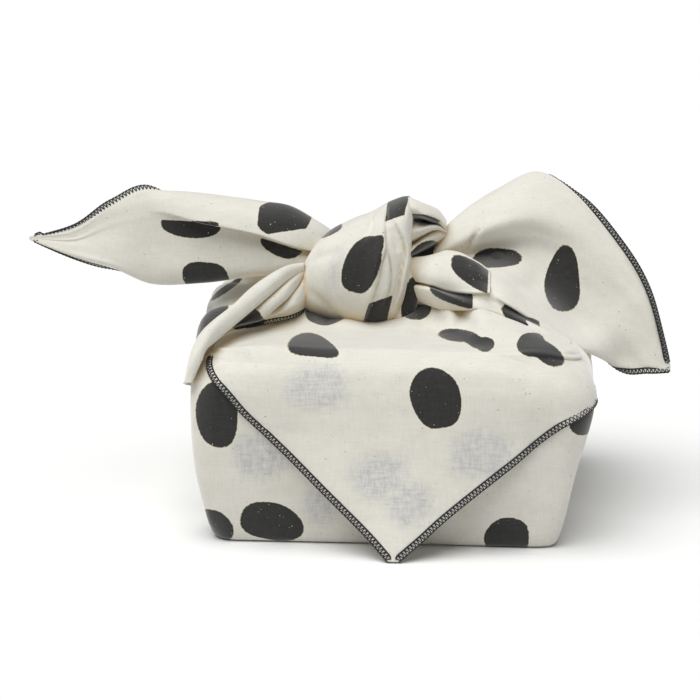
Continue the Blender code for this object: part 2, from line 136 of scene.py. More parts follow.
LEFT_GATHER_FOLDS = (
    # name, foot, shoulder, knot
    ("front border", (-80, -80, 74), (-70, -54, 88), (-38, -16, 99)),
    ("front slope", (-84, -82, 64), (-84, -68, 88), (-39, -14, 106)),
    ("front valley", (-88, -64, 40), (-91, -58, 91), (-39, -14, 118)),
    ("front crest", (-88, -42, 30), (-94, -36, 96), (-40, -10, 124)),
    ("middle valley", (-88, -12, 30), (-91, -10, 90), (-40, -6, 118)),
    ("back crest", (-88, 26, 30), (-96, 24, 98), (-39, -2, 125)),
    ("back valley", (-88, 48, 34), (-92, 47, 91), (-38, 2, 116)),
    ("rear crest", (-88, 68, 44), (-95, 64, 97), (-36, 6, 112)),
    ("rear border", (-80, 82, 76), (-74, 72, 92), (-34, 8, 100)),
)
RIGHT_GATHER_FOLDS = (
    # name, foot, shoulder, knot
    ("front border", (84, -78, 78), (76, -64, 92), (12, -18, 101)),
    ("front slope", (90, -74, 64), (88, -71, 88), (14, -20, 112)),
    ("front valley", (92, -54, 48), (90, -50, 85), (14, -12, 117)),
    ("front crest", (91, -28, 40), (91, -27, 87), (14, -8, 122)),
    ("middle valley", (91, 2, 40), (93, 2, 88), (14, -4, 116)),
    ("back crest", (91, 32, 40), (98, 30, 98), (13, 0, 121)),
    ("back valley", (93, 54, 46), (95, 52, 92), (12, 4, 112)),
    ("rear crest", (94, 70, 56), (96, 68, 97), (11, 8, 110)),
    ("rear border", (84, 82, 76), (78, 74, 92), (10, 10, 100)),
)

# Folds that lie on the gathers and the knot, each through its places from the knot outwards.
LEFT_FAN_FOLDS = {
    "hem": ((-43, -24, 101.6), (-46, -30, 100.8), (-51, -35, 99.8), (-58, -39.6, 99.2),
        (-64, -44.6, 98.6), (-71, -48.6, 98), (-77, -53.4, 97.2), (-83, -64, 94)),
    "above the hem": ((-42, -24, 106), (-45, -31, 104.6), (-50, -36, 103.2), (-57, -40, 102.4),
        (-63, -44.6, 101.4), (-70, -48.6, 100.2), (-76, -53, 99), (-82.6, -64.6, 95.6)),
    "flattened fold": ((-42, -27, 112), (-44, -34, 108), (-48, -40, 107), (-55, -43, 104),
        (-61, -46, 102), (-68, -49, 100.4), (-76, -54, 99), (-82, -66, 96)),
    "its top": ((-43, -25, 118), (-44, -30, 115), (-48, -36, 111), (-54, -41, 106), (-60, -46, 103),
        (-67, -50, 101), (-75, -56, 100), (-82, -68, 97)),
    "groove": ((-44, -20, 118), (-45, -25, 115), (-49, -32, 111), (-55, -39, 106.4), (-61, -45, 102.4),
        (-67, -49, 101), (-75, -56, 100), (-82, -68, 97)),
    "middle lip": ((-43, -23, 120), (-46, -31, 116.6), (-50, -41, 112.2), (-55, -47, 108.4),
        (-61, -51, 103.6), (-67, -53, 102), (-75, -58, 101), (-82, -69, 97)),
    "middle crest": ((-43, -24, 122), (-47, -33, 119.4), (-53, -42.6, 114.8), (-59, -48.6, 110.6),
        (-64, -53, 106), (-69, -56, 103), (-75, -60, 101), (-82, -70, 98)),
    "middle back": ((-43, -20, 123), (-49, -28, 120), (-56, -36, 115), (-63, -43, 110), (-67, -49, 106),
        (-72, -53, 103), (-77, -58, 100), (-83, -68, 97)),
    "valley": ((-44, -17, 122), (-51, -24, 118.4), (-58, -31, 113.4), (-66, -39, 108.4),
        (-71, -46, 103.4), (-75, -50, 100), (-79, -56, 98), (-84, -66, 95)),
}
LEFT_ROLL_FOLDS = {
    "tuck": ((-44, -15, 123), (-52, -20, 119), (-60, -28, 114), (-68, -37, 109), (-74, -47, 104),
        (-81, -59, 99), (-85, -69, 95), (-88, -76, 89), (-91, -84, 80)),
    "lip": ((-43, -23, 122.4), (-50, -33, 119.4), (-57, -43.6, 114.4), (-65, -53.8, 108.6),
        (-72, -63, 103.6), (-80, -74.6, 97.8), (-84, -81.6, 95), (-86, -86.4, 90), (-90.4, -88.6, 80)),
    "front": ((-43, -25.4, 124.6), (-50, -35.6, 122.8), (-57, -45.8, 118.6), (-65, -55.8, 112.8),
        (-72, -64.8, 107.8), (-80, -76.6, 102), (-84, -83.8, 98), (-88, -88.4, 92), (-92, -88.8, 80)),
    "crest": ((-43, -23.6, 125.8), (-50, -33, 125.8), (-58, -43, 121.8), (-66, -52.8, 116.8),
        (-73, -61.8, 111.8), (-81, -74, 105.6), (-86, -81.6, 100.4), (-90, -86.4, 92.6), (-94, -87, 79)),
    "back edge": ((-43, -21, 125), (-51, -29, 125), (-59, -38, 122), (-67, -47, 117), (-74, -56, 111),
        (-83, -68, 105), (-88, -75, 100), (-92, -80, 91), (-94.6, -80, 77)),
    "behind": ((-44, -14, 123), (-51, -20, 122), (-60, -28, 118), (-67, -36, 113), (-75, -45, 108),
        (-83, -56, 101), (-88, -63, 95), (-91, -68, 86), (-93, -70, 74)),
}
RIGHT_ARM_FOLDS = {
    "under the corner": ((6.3, 0, 113.8), (13.6, -4, 113.1), (20.4, -10, 112.2), (28.1, -16, 111.2),
        (37.2, -22, 111.4), (45.7, -26, 112.4), (52.6, -28, 110.6), (59.6, -28, 105.7),
        (68, -27.5, 100.9), (76.4, -27, 96.2), (83.8, -25, 91.1), (89.3, -26, 87.9)),
    "upper edge": ((7.1, -14, 117.8), (14.3, -18, 117.2), (21, -24, 116.3), (28.6, -30, 115.3),
        (37.6, -36, 115.6), (46, -40, 116.6), (52.9, -42, 114.7), (59.7, -42, 109.9), (68, -41.5, 105.2),
        (76.3, -41, 100.5), (83.7, -39, 95.5), (89.1, -40, 92.3)),
    "upper face": ((7, -16, 115.7), (14.3, -23.5, 115.9), (21, -30.5, 115.7), (28.6, -36.5, 114.4),
        (37.1, -40.8, 113.4), (45.4, -43, 112.8), (52.2, -44, 111.8), (59.2, -45, 108),
        (67.4, -45.8, 104), (75.8, -47.5, 100), (83, -49.5, 95.9), (88.4, -54.2, 93.5)),
    "fold": ((6.8, -18, 114.1), (14.3, -29, 115.2), (21.1, -37, 115.7), (28.7, -43, 114),
        (36.5, -45.5, 111.7), (44.8, -46, 109.5), (51.6, -46, 109.3), (58.6, -48, 106.7),
        (66.9, -50, 103.3), (75.4, -54, 100.1), (82.3, -60, 96.9), (87.8, -68.5, 95.2)),
    "lower edge": ((6.2, -14, 106.6), (13.6, -24, 108.1), (20.4, -32, 107.5), (28.1, -39, 107.2),
        (36, -43, 107.9), (44.8, -45, 108.6), (50.6, -46, 107.8), (57.9, -48, 105.4), (66.2, -50, 102.5),
        (74.9, -54, 99.1), (81.6, -60, 96), (87.3, -68, 94.1)),
    "turned under": ((5.7, -6, 106.2), (13.2, -16, 107.7), (20.1, -24, 107.1), (27.8, -31, 106.8),
        (35.7, -35, 107.4), (44.6, -37, 108.1), (50.4, -38, 107.4), (57.8, -40, 104.9), (66.1, -42, 102),
        (74.9, -46, 98.6), (81.7, -52, 95.4), (87.4, -60, 93.5)),
}
RIGHT_ROLL_FOLDS = {
    "behind": ((9, -4, 124), (15.7, -7, 125.2), (22.2, -9, 127.2), (26.8, -11, 129), (31.8, -12, 128.8),
        (35.8, -13, 127.7), (39.8, -13.5, 125.6), (43.8, -14, 123.4), (48.8, -15, 119.9)),
    "crest": ((9.6, -16, 127.9), (16.2, -19, 129), (22.7, -21, 131), (27.2, -23, 132.8),
        (32.2, -24, 132.6), (36.1, -25, 131.5), (40.1, -25.5, 129.4), (44.1, -26, 127.3), (49, -25, 123.4)),
    "upper face": ((9.9, -21.2, 125.4), (16, -25.2, 126.5), (22.3, -28.2, 127.7), (27.4, -30.7, 128.5),
        (32.4, -32.2, 128.2), (36.4, -33.2, 127.4), (40.8, -33.5, 125.9), (44.6, -33.7, 124.5),
        (49.2, -32.7, 121.8)),
    "face": ((10.1, -23, 121.7), (15.4, -28, 122.7), (21.7, -32, 123), (27.5, -35, 122.6),
        (32.4, -37, 122.3), (36.7, -38, 121.8), (41.5, -38, 121), (45.1, -38, 120.4), (49.3, -37, 119)),
    "lower face": ((10, -21.7, 118.5), (15, -27.9, 119.6), (21.1, -32.5, 119.3), (27.4, -35.5, 117.9),
        (32.4, -38.1, 117.6), (36.8, -40.3, 117.7), (42, -41.5, 117.6), (45.5, -42.4, 117.8),
        (49.5, -43.2, 117.7)),
    "lower edge": ((9.9, -19, 116.8), (14.7, -26, 118), (20.8, -31, 117.4), (27.3, -34, 115.6),
        (32.3, -37, 115.4), (36.8, -40, 115.7), (42.2, -42, 116), (45.6, -43.5, 116.6),
        (49.5, -45.5, 117.1)),
    "turned under": ((9.4, -10, 116.3), (14.2, -17, 117.5), (20.4, -22, 116.9), (27, -25, 115.1),
        (32, -28, 114.8), (36.5, -31, 115.1), (41.9, -33, 115.4), (45.4, -34.5, 116), (49.3, -36.5, 116.5)),
}
KNOT_LOOP_FOLDS = {
    "behind the top roll": ((7.3, -4, 155.9), (11.3, -4, 154.4), (15.3, -3, 152.6), (19.2, -1, 150.8),
        (22.5, 3, 148.1), (26, 6, 142.8)),
    "top roll": ((7.8, -12, 157.2), (11.8, -13, 156), (15.8, -13, 154.3), (19.6, -10, 152.3),
        (22.9, -6, 149.7), (26.2, 0, 143.9)),
    "its face": ((8.1, -18, 154.2), (12.1, -19, 153.5), (16, -18, 151.9), (19.9, -16, 149.6),
        (23.2, -12, 146.9), (26.4, -5, 142.2)),
    "its lip": ((8.1, -17, 150.1), (12, -17, 149.9), (16, -18, 149.4), (19.8, -14, 147),
        (23.1, -10, 144.8), (26.4, -4, 140)),
    "under its lip": ((7.6, -7, 146.8), (11.5, -7, 146.4), (15.5, -6, 145.8), (19.4, -4, 144),
        (22.8, -3, 142.8), (26.2, 0, 138.8)),
    "small fold above": ((7.7, -9, 145.2), (11.7, -9, 145), (15.5, -7, 143.4), (19.5, -6, 142.8),
        (22.9, -5, 142.2), (26.3, -1, 138.8)),
    "middle roll": ((8.2, -19, 142.4), (12.2, -19, 142.5), (16, -17, 143.2), (19.9, -15, 143.9),
        (23.2, -11, 142.7), (26.4, -4, 139)),
    "its lower face": ((8.2, -18, 137.3), (12.1, -17, 138.9), (15.9, -15, 140.6), (19.8, -14, 142.4),
        (23.1, -10, 141.6), (26.4, -4, 138.7)),
    "groove": ((7.7, -9, 132.6), (11.7, -8, 135), (15.6, -7, 137.4), (19.5, -6, 139.5), (22.9, -4, 139.8),
        (26.3, -1, 137.8)),
    "low roll": ((8.3, -19, 132.4), (12.1, -17, 134.3), (16, -15, 136.6), (19.8, -12, 138.5),
        (23.1, -8, 139.4), (26.4, -3, 137.6)),
    "its lower lip": ((8.4, -20, 130.1), (12.2, -18, 131.8), (16, -15, 133.5), (19.8, -12, 135.3),
        (23.1, -8, 136.6), (26.4, -3, 136.8)),
    "under its lower lip": ((7.9, -11, 127.4), (11.8, -9, 128.6), (15.6, -7, 130.1), (19.5, -5, 131.7),
        (22.9, -2, 133), (26.3, 0, 133.7)),
    "behind the right roll": ((8, -14, 127.4), (11.9, -12, 126.9), (15.8, -10, 126.5), (19.7, -8, 127),
        (23.1, -6, 128.2), (26.4, -2, 129.5)),
    "out of sight": ((8.1, -14, 125.4), (11.9, -12, 125.1), (15.8, -10, 124.8), (19.7, -8, 125),
        (23.1, -6, 125.6), (26.4, -2, 127)),
}

FRONT_WRAP_SECTIONS = (
    # name, place, bottom, top, front, back
    ("left end", -46, 106, 117, -19, -6),
    ("left lip", -44.4, 102, 123, -25, 1),
    ("left shoulder", -40, 99.4, 131.5, -30, 7),
    ("smooth part", -32, 96.8, 140, -34.5, 12),
    ("middle", -21, 94, 146, -37, 15),
    ("before the first pleat", -12, 92.8, 149.5, -37.8, 16),
    ("second band", -5.5, 92.4, 153.2, -37.2, 16),
    ("before the second pleat", -1.4, 92.8, 155.2, -36.4, 16),
    ("third band", 4, 94.6, 157.2, -34.2, 14),
    ("right lip", 7.6, 98, 156.6, -31, 12),
    ("right end", 9.6, 108, 150, -25, 8),
)
REAR_WRAP_SECTIONS = (
    # name, place, bottom, top, front, back
    ("left end", 0, 118, 150, -4, 14),
    ("left part", 6, 104, 152, -5, 20),
    ("middle", 15, 102, 147.5, -4, 24),
    ("right part", 22, 106, 141.5, -1, 24),
    ("right lip", 26, 112, 134, 2, 18),
    ("right end", 28, 118, 127, 4, 10),
)

# Rolled folds: across, depth, height and radius at each place.
FOLD_ROLLS = {
    "ridge behind the roll": ((-94, 0, 90, 2), (-94, 16, 96, 2.6), (-89, 28, 102, 2.8),
        (-80, 24, 107, 3.2), (-72, 19, 110, 3.8), (-64, 15, 113, 3.8), (-52, 9, 119, 3)),
    "filling of the right front roll": ((8, -14, 122, 3), (19, -18, 123, 4.4), (29, -20, 123, 5.6),
        (40, -20, 120, 5), (48, -18, 116, 3)),
    "filling of the right arm": ((8, -8, 112, 3), (20, -14, 110, 3.6), (37, -26, 108, 3.6),
        (50, -34, 106, 3.6), (64, -46, 102, 3.2), (76, -54, 98, 3), (88, -60, 91, 2)),
    "strip beside the knot": ((8, -18, 127, 3), (10.4, -21, 117, 4.4), (8.6, -24, 106, 4.6),
        (3, -25, 98, 3.6)),
    "crease under the knot": ((-46, -20, 93, 2.6), (-40, -24, 94, 2.8), (-30, -30, 92, 2.8),
        (-16, -34, 91, 2.6)),
}
CORNER_ROLLS = {
    "left corner pleat": ((-87, -85, 70, 1), (-87, -84.6, 50, 1.9), (-85.4, -83.6, 30, 1.9),
        (-82.6, -81, 10, 1.2)),
    "right corner pleat": ((88.5, -84.6, 36, 1), (86.4, -83.8, 24, 1.9), (84, -82.2, 12, 1.9),
        (82, -80.6, 4, 1.2)),
}

# The free corners. Each fold gives its depth and height at every station, from the hem behind the
# top edge, over the front, to the hem behind the bottom edge.
LEFT_EAR_STATIONS = (-28, -38, -52, -68, -95, -121, -142, -160, -182)
LEFT_EAR_FOLDS = {
    "upper hem": ((3, 124), (8, 126), (14, 128), (16, 128), (14, 130), (0, 159), (-5, 153), (-10, 141),
        (-14, 134.9)),
    "back of the top": ((7, 132), (7, 138), (10, 145), (11, 147), (10, 150), (-3, 158), (-6, 151),
        (-10, 140), (-14, 135.2)),
    "top fold": ((1, 135), (-1, 142.5), (0, 150), (1, 152), (1, 156), (-5, 156), (-7, 149), (-11, 138),
        (-14, 135.1)),
    "strip": ((-6, 133), (-9, 139), (-11, 145), (-11, 147), (-9, 152), (-7, 153), (-7.6, 147), (-11, 137),
        (-14, 135)),
    "strip lip": ((-9, 128), (-11, 130), (-16, 134), (-16, 139), (-14, 144), (-8, 149), (-8.2, 144),
        (-11.4, 135), (-14, 135.3)),
    "tuck": ((-5, 128), (-6, 131), (-10, 138), (-10, 144), (-9, 147), (-8, 146), (-9, 141), (-12, 134),
        (-14, 134.8)),
    "face top": ((-5, 126), (-6, 128), (-7, 131), (-7, 137), (-7, 142), (-8, 142), (-9.6, 138),
        (-12, 133), (-14, 134.7)),
    "face": ((-7, 124), (-9, 126), (-11, 127), (-10, 129), (-8, 130), (-9, 131), (-12, 131), (-13.6, 131),
        (-14, 134.6)),
    "lower face": ((-8, 122), (-10, 124), (-12, 122), (-11, 120), (-10, 118), (-11, 119), (-14, 125),
        (-14.8, 129), (-14, 134.5)),
    "bottom fold": ((-6, 120), (-8, 121), (-9, 118), (-7, 116), (-6, 112), (-9, 112), (-15, 122),
        (-16, 127), (-14, 134.4)),
    "back of the bottom": ((0, 120), (0, 121), (0, 119), (1, 118), (3, 115), (0, 112.6), (-11, 120),
        (-14, 126), (-14, 134.3)),
    "lower hem": ((3, 124), (3, 127), (5, 133), (7, 138), (7, 134), (5, 117), (-9, 119), (-14, 125),
        (-14, 134.2)),
}
RIGHT_EAR_STATIONS = (16, 33, 53, 72, 92, 112, 128, 139)
RIGHT_EAR_FOLDS = {
    "upper hem": ((15, 118), (26, 124), (36, 124), (28, 160), (16, 156), (4, 137), (-4, 112), (-12, 74.2)),
    "back of the top": ((11, 126), (20, 138), (31, 150), (26, 164), (14, 155), (3, 134), (-5, 109),
        (-12, 73.95)),
    "top fold": ((3, 129), (8, 146), (18, 158), (21, 165), (12, 154), (2, 130), (-5, 107), (-12, 73.7)),
    "upper bulge": ((-3, 127), (-3, 142), (2, 152), (9, 158), (6, 148), (0, 126), (-6, 104), (-12, 73.45)),
    "bulge crest": ((-6, 125), (-9, 136), (-8, 145), (-2, 147), (0, 139), (-2, 121), (-7, 100),
        (-12, 73.2)),
    "hollow top": ((-6, 123), (-8, 131), (-6, 137), (-1, 138), (-2, 129), (-4, 115), (-8, 96),
        (-12, 72.95)),
    "hollow floor": ((-5, 121), (-6, 126), (-2, 128), (0, 129), (-3, 121), (-5, 108), (-9, 91),
        (-12, 72.7)),
    "ridge": ((-8, 119), (-13, 123), (-30, 121.2), (-12, 114.9), (-6, 110.5), (-7, 100), (-10, 86),
        (-12, 72.45)),
    "lower face": ((-10, 117), (-17, 119), (-37, 118.2), (-29, 108.8), (-15, 96.6), (-10, 90), (-11, 80),
        (-12, 72.2)),
    "bottom fold": ((-8, 114), (-14, 114), (-44, 114.1), (-43, 102.6), (-34, 88.7), (-11, 80), (-12, 75),
        (-12, 71.95)),
    "back of the bottom": ((-1, 113), (-4, 115), (-34, 115.1), (-33, 103.2), (-24, 87.7), (-11, 74),
        (-12, 73), (-12, 71.7)),
    "lower hem": ((5, 117), (8, 126), (12, 134), (8, 122), (3, 96), (-8, 72), (-13, 71), (-12, 71.45)),
}


# ---------------------------------------------------------------- spots and creases

class Form(Enum):
    """How a crease stands in the cloth."""

    RIDGE = "ridge"
    TROUGH = "trough"
    STEP = "step"


class Facing(Enum):
    """How a spot lies: flat on the cloth at its middle, or across folds that face one way.

    The slanted ways look from a little above.
    """

    CLOTH = (0.0, 0.0, 0.0)
    FRONT = (0.0, -0.974, 0.225)
    BACK = (0.0, 0.974, 0.225)
    LEFT = (-0.974, 0.0, 0.225)
    RIGHT = (0.974, 0.0, 0.225)
    UP = (0.0, 0.0, 1.0)


@dataclass(frozen=True)
class Spot:
    """One printed pebble spot, with its middle near a place on the cloth.

    Its facing is the way that it is seen whole, so it may lie across folds. A cut is a fold's edge
    that hides the rest of the spot: its way in degrees and its distance. The egg makes one end
    wider, and the bend curves its middle line.
    """

    name: str
    place: tuple[float, float, float]
    width: float
    height: float
    turn: float = 0.0
    facing: Facing = Facing.FRONT
    cuts: tuple[tuple[float, float], ...] = ()
    egg: float = 0.0
    bend: float = 0.0


@dataclass(frozen=True)
class Crease:
    """One crease that runs through a few places on the cloth."""

    name: str
    places: tuple[tuple[float, float, float], ...]
    width: float
    height: float
    form: Form = Form.TROUGH


SPOTS: dict[str, tuple[Spot, ...]] = {
    "parcel_cloth": (
        Spot("left of the front", (-78, -91, 65), 20, 33, -3, Facing.CLOTH),
        Spot("leaf at the base", (-53, -86, 11), 30, 21, -13, Facing.CLOTH),
        Spot("left foot", (-82, -82, 7), 20, 17, -10),
        Spot("dome at the base", (60, -84, 6), 22, 18),
        Spot("right side", (95, -88, 66), 13, 16),
        Spot("back, high left", (-54, 90, 60), 24, 31, 10, Facing.BACK, egg=0.12),
        Spot("back, low middle", (4, 88, 28), 30, 22, -12, Facing.BACK),
        Spot("back, high right", (60, 90, 62), 23, 30, -8, Facing.BACK, egg=0.1),
        Spot("back, low left", (-66, 84, 8), 24, 20, 8, Facing.BACK),
        Spot("back, low right", (66, 84, 12), 26, 20, 0, Facing.BACK),
        Spot("left side, high", (-92, 26, 60), 24, 31, 8, Facing.LEFT, egg=-0.1),
        Spot("left side, low", (-90, -28, 26), 29, 21, -14, Facing.LEFT),
        Spot("left side, back", (-90, 62, 20), 22, 27, 6, Facing.LEFT),
        Spot("right side, high", (98, 22, 60), 25, 31, -8, Facing.RIGHT, egg=0.1),
        Spot("right side, low", (91, -36, 28), 29, 22, 12, Facing.RIGHT),
        Spot("right side, back", (92, 62, 22), 23, 28, 0, Facing.RIGHT),
        Spot("top, at the back", (-30, 56, 95), 27, 22, 14, Facing.UP),
        Spot("top, back right", (38, 58, 95), 23, 28, -20, Facing.UP),
    ),
    "hanging_corner": (
        Spot("under the right arm", (13, -25, 104), 15, 10),
        Spot("teardrop", (-33, -79, 96), 10, 26, 76, egg=0.3, bend=-0.3),
        Spot("egg", (26, -96, 76), 23, 29, 12, Facing.CLOTH, egg=0.12),
        Spot("comma", (34, -54, 98), 18, 6, -5),
        Spot("right shoulder", (70, -74, 98), 13, 12),
        Spot("neck of the comma", (42, -65, 98), 13, 6, -30),
        Spot("head of the comma", (48, -71, 97), 9, 7, -12),
        Spot("point at the right shoulder", (76, -79, 96), 22, 9, -36),
        Spot("under the knot", (-32, -21, 98), 21, 34, 4, Facing.UP),
    ),
    "knot_and_gathers": (
        Spot("behind the roll", (-87, 13, 105), 19, 4, 37),
        Spot("on the left shoulder", (-88, -44, 100), 12, 23, -30),
        Spot("right edge of the knot", (10, -28, 110), 7, 22, -12),
        Spot("sliver by the roll", (-76, 2, 102), 7, 2, 35),
        Spot("left gather, back", (-70, 40, 100), 28, 22, 20, Facing.UP),
        Spot("right gather, back", (66, 32, 102), 24, 30, -24, Facing.UP),
        Spot("back of the knot", (14, 22, 124), 19, 27, -12, Facing.BACK),
        Spot("behind the wrap", (-26, 14, 120), 20, 26, 14, Facing.BACK),
    ),
    "left_fan": (
        Spot("in the valley", (-68, -56, 104), 16, 10, 15),
    ),
    "right_arm": (
        Spot("on the arm", (32, -39, 114), 27, 9, -20, cuts=((0, 9.2),)),
        Spot("at the arm's end", (65, -48, 105), 22, 10, -34),
    ),
    "right_roll": (
        Spot("on the right roll", (42, -36, 124), 29, 11, -34, cuts=((0, 6.3),)),
    ),
    "knot_wrap": (
        Spot("crescent on the knot", (-30, -13, 140), 13, 5, 25),
        Spot("big one on the knot", (-13, -37, 128), 17, 30, -20, bend=0.06),
        Spot("low on the knot", (-6, -33, 104), 20, 28, -20, cuts=((-15, 5.5), (159, 4.7), (110, 4.9))),
        Spot("top of the knot", (3, -22, 154), 18, 18, 0, cuts=((-10, 4.4), (180, 5.4), (-70, 4.9))),
        Spot("upper part of the low one", (-6, -35, 137), 8, 14, -10, cuts=((0, 4.1), (95, 4.9))),
    ),
    "knot_loop": (
        Spot("on the loop", (15, -5, 145), 17, 4, -8),
        Spot("between the loop's folds", (16, -7, 129), 17, 8, 35),
    ),
    "left_ear": (
        Spot("lens under the lip", (-101, -8, 143), 29, 17, -3, cuts=((88, 0.3),)),
        Spot("cut by the bottom fold", (-94, -10, 115), 23, 16),
        Spot("on the strip", (-55, -11, 146), 27, 19, -8, cuts=((-80, 7), (180, 11.9))),
        Spot("wedge under the lip", (-56, -16, 135), 23, 13, -28, cuts=((73, -0.7),)),
    ),
    "right_ear": (
        Spot("in the hollow", (52, -7, 127), 25, 10, 4),
        Spot("tall one", (85, -5, 117), 17, 33, -5, egg=-0.34),
    ),
}
GHOSTS: dict[str, tuple[Spot, ...]] = {
    "parcel_cloth": (
        Spot("front left", (-57, -89, 45), 28, 25, 18, Facing.CLOTH),
        Spot("front low", (-30, -87, 19), 15, 19, -5, Facing.CLOTH),
    ),
    "hanging_corner": (
        Spot("left", (-30, -94, 80), 30, 22, 11, Facing.CLOTH),
        Spot("low", (0, -101, 39), 29, 22, 2, Facing.CLOTH),
        Spot("right", (47, -97, 50), 29, 24, -2, Facing.CLOTH),
        Spot("near the tip", (14, -104, 27), 22, 21, 3, Facing.CLOTH),
    ),
    "knot_wrap": (
        Spot("on the knot", (-27, -35, 123), 4, 17, -14),
    ),
}
CREASES: dict[str, tuple[Crease, ...]] = {
    "knot_wrap": (
        Crease("left wrap's edge", ((-2, -28, 148), (-2, -33, 142), (-2, -35, 135), (-4, -37, 127),
                (-6, -37, 117), (-9, -35, 108), (-13, -28, 98)),
               1.6, 3, Form.STEP),
        Crease("middle band's edge", ((-2, -34, 140), (0, -36, 132), (1, -36, 125), (0, -35, 116),
                (-2, -35, 110)),
               1.3, 2, Form.STEP),
        Crease("main pleat", ((-2, -25, 97), (2, -32, 108), (4, -33, 116), (5, -33, 123), (7, -32, 131),
                (7, -32, 138), (4, -31, 145), (2, -29, 148)),
               1.2, 2.8, Form.STEP),
        Crease("short crease", ((-9, -15, 150), (-10, -26, 146), (-9, -32, 142)), 1.1, 1.8),
        Crease("second short crease", ((-3, -17, 153), (-2, -25, 150), (-2, -29, 147)), 1, 1.4),
        Crease("soft fold", ((-10, -23, 148), (-12, -29, 143), (-14, -33, 139)), 2.4, 1),
        Crease("soft hollow", ((1, -30, 146), (4, -33, 141), (5, -34, 134)), 3, 1.6),
        Crease("left pull", ((-40, -24, 127), (-33, -30, 131), (-25, -32, 134)), 2.8, 1),
        Crease("low pull", ((-40, -30, 114), (-34, -32, 109), (-28, -31, 103)), 2.8, 0.9),
    ),
    "hanging_corner": (
        Crease("hollow under the arm", ((21, -29, 106), (24, -40, 103), (28, -56, 99)), 4, 2.4),
        Crease("second hollow", ((34, -36, 107), (38, -46, 104), (45, -61, 102)), 3.4, 1.8),
        Crease("ridge between", ((28, -34, 108), (32, -43, 104), (38, -57, 99)), 2.6, 1, Form.RIDGE),
    ),
    "right_ear": (
        Crease("gather by the roll", ((44, 3, 150), (43, -8, 143), (40, -9, 136), (37, -6, 129)), 1.5, 1.8),
    ),
}


# ---------------------------------------------------------------- curves, grids and meshes

def spline(points: Array, shares: Array) -> Array:
    """Return places on a smooth curve through rows of values.

    Args:
        points: the rows that the curve goes through, first axis along the curve.
        shares: where each place is along the rows, in steps of one row.

    Returns:
        One row of values for each share.
    """
    start = np.clip(shares.astype(int), 0, len(points) - 2)
    part = (shares - start).reshape((-1,) + (1,) * (points.ndim - 1))
    before, here = points[np.maximum(start - 1, 0)], points[start]
    after, beyond = points[start + 1], points[np.minimum(start + 2, len(points) - 1)]
    return 0.5 * (
        2 * here + part * (after - before)
        + part ** 2 * (2 * before - 5 * here + 4 * after - beyond)
        + part ** 3 * (3 * here - before - 3 * after + beyond)
    )


def smooth_rows(points: Array, steps: int) -> Array:
    """Return the rows with steps - 1 more between each two, on a smooth curve.

    Args:
        points: the rows, first axis along the curve.
        steps: how many steps to go from one row to the next.

    Returns:
        The rows.
    """
    rows = np.asarray(points, float)
    return spline(rows, np.linspace(0.0, len(rows) - 1, (len(rows) - 1) * steps + 1))


def unit(vectors: Array) -> Array:
    """Return the vectors at length one."""
    return vectors / np.maximum(np.linalg.norm(vectors, axis=-1, keepdims=True), 1e-9)


@dataclass
class Skin:
    """The points and faces of one piece, before it becomes a mesh."""

    points: Array
    faces: Array
    ink: Array = field(default_factory=lambda: np.zeros(0))
    ghost: Array = field(default_factory=lambda: np.zeros(0))
    # shade: a thin line along narrow creases, where a dark line of shade is painted.
    shade: Array = field(default_factory=lambda: np.zeros(0))

    def spans(self) -> Array:
        """Return each face's outward direction, twice as long as the face is large."""
        corners = self.points[self.faces]
        return np.cross(corners[:, 2] - corners[:, 0], corners[:, -1] - corners[:, 1])

    def normals(self) -> Array:
        """Return the outward direction at each point."""
        across = self.spans()
        total = np.zeros_like(self.points)
        for corner in range(self.faces.shape[1]):
            np.add.at(total, self.faces[:, corner], across)
        return unit(total)

    def area(self) -> float:
        """Return the area of all the faces."""
        return float(np.linalg.norm(self.spans(), axis=1).sum() / 2)

    def tree(self) -> BVHTree:
        """Return a search tree over the faces."""
        return BVHTree.FromPolygons(self.points.tolist(), self.faces.tolist())

    def neighbours(self) -> tuple[Array, Array]:
        """Return each edge's two ends, once each way."""
        ends = np.stack([self.faces, np.roll(self.faces, -1, axis=1)], 2).reshape(-1, 2)
        edges = np.unique(np.sort(ends, axis=1), axis=0)
        return edges.T.ravel(), edges[:, ::-1].T.ravel()

    def soften(self, rounds: int, strength: float = 0.5) -> None:
        """Move each point towards the middle of its neighbours.

        Args:
            rounds: how many times.
            strength: how far each time, from 0 to 1.
        """
        start, end = self.neighbours()
        count = np.bincount(start, minlength=len(self.points))[:, None]
        for _ in range(rounds):
            total = np.stack([
                np.bincount(start, weights=self.points[end, axis], minlength=len(self.points))
                for axis in range(3)
            ], 1)
            self.points += (total / np.maximum(count, 1) - self.points) * strength * (count > 0)


def grid_faces(rows: int, columns: int, closed: bool = False) -> Array:
    """Return the quads of a grid of points that is stored row by row.

    Args:
        rows: how many rows.
        columns: how many points in each row.
        closed: whether each row goes on from its end to its start.

    Returns:
        Four point numbers for each quad.
    """
    across = np.arange(columns if closed else columns - 1)
    starts = np.arange(rows - 1)[:, None] * columns
    low = (starts + across).ravel()
    right = (starts + (across + 1) % columns).ravel()
    return np.stack([low, right, right + columns, low + columns], 1)


def joined(skins: list[Skin]) -> Skin:
    """Return several skins as one, without melting them together.

    Args:
        skins: the skins, all of quads.

    Returns:
        The skin of them all.
    """
    starts = np.cumsum([0] + [len(skin.points) for skin in skins[:-1]])
    points = np.concatenate([skin.points for skin in skins])
    return Skin(points, np.concatenate([skin.faces + start for skin, start in zip(skins, starts)]))


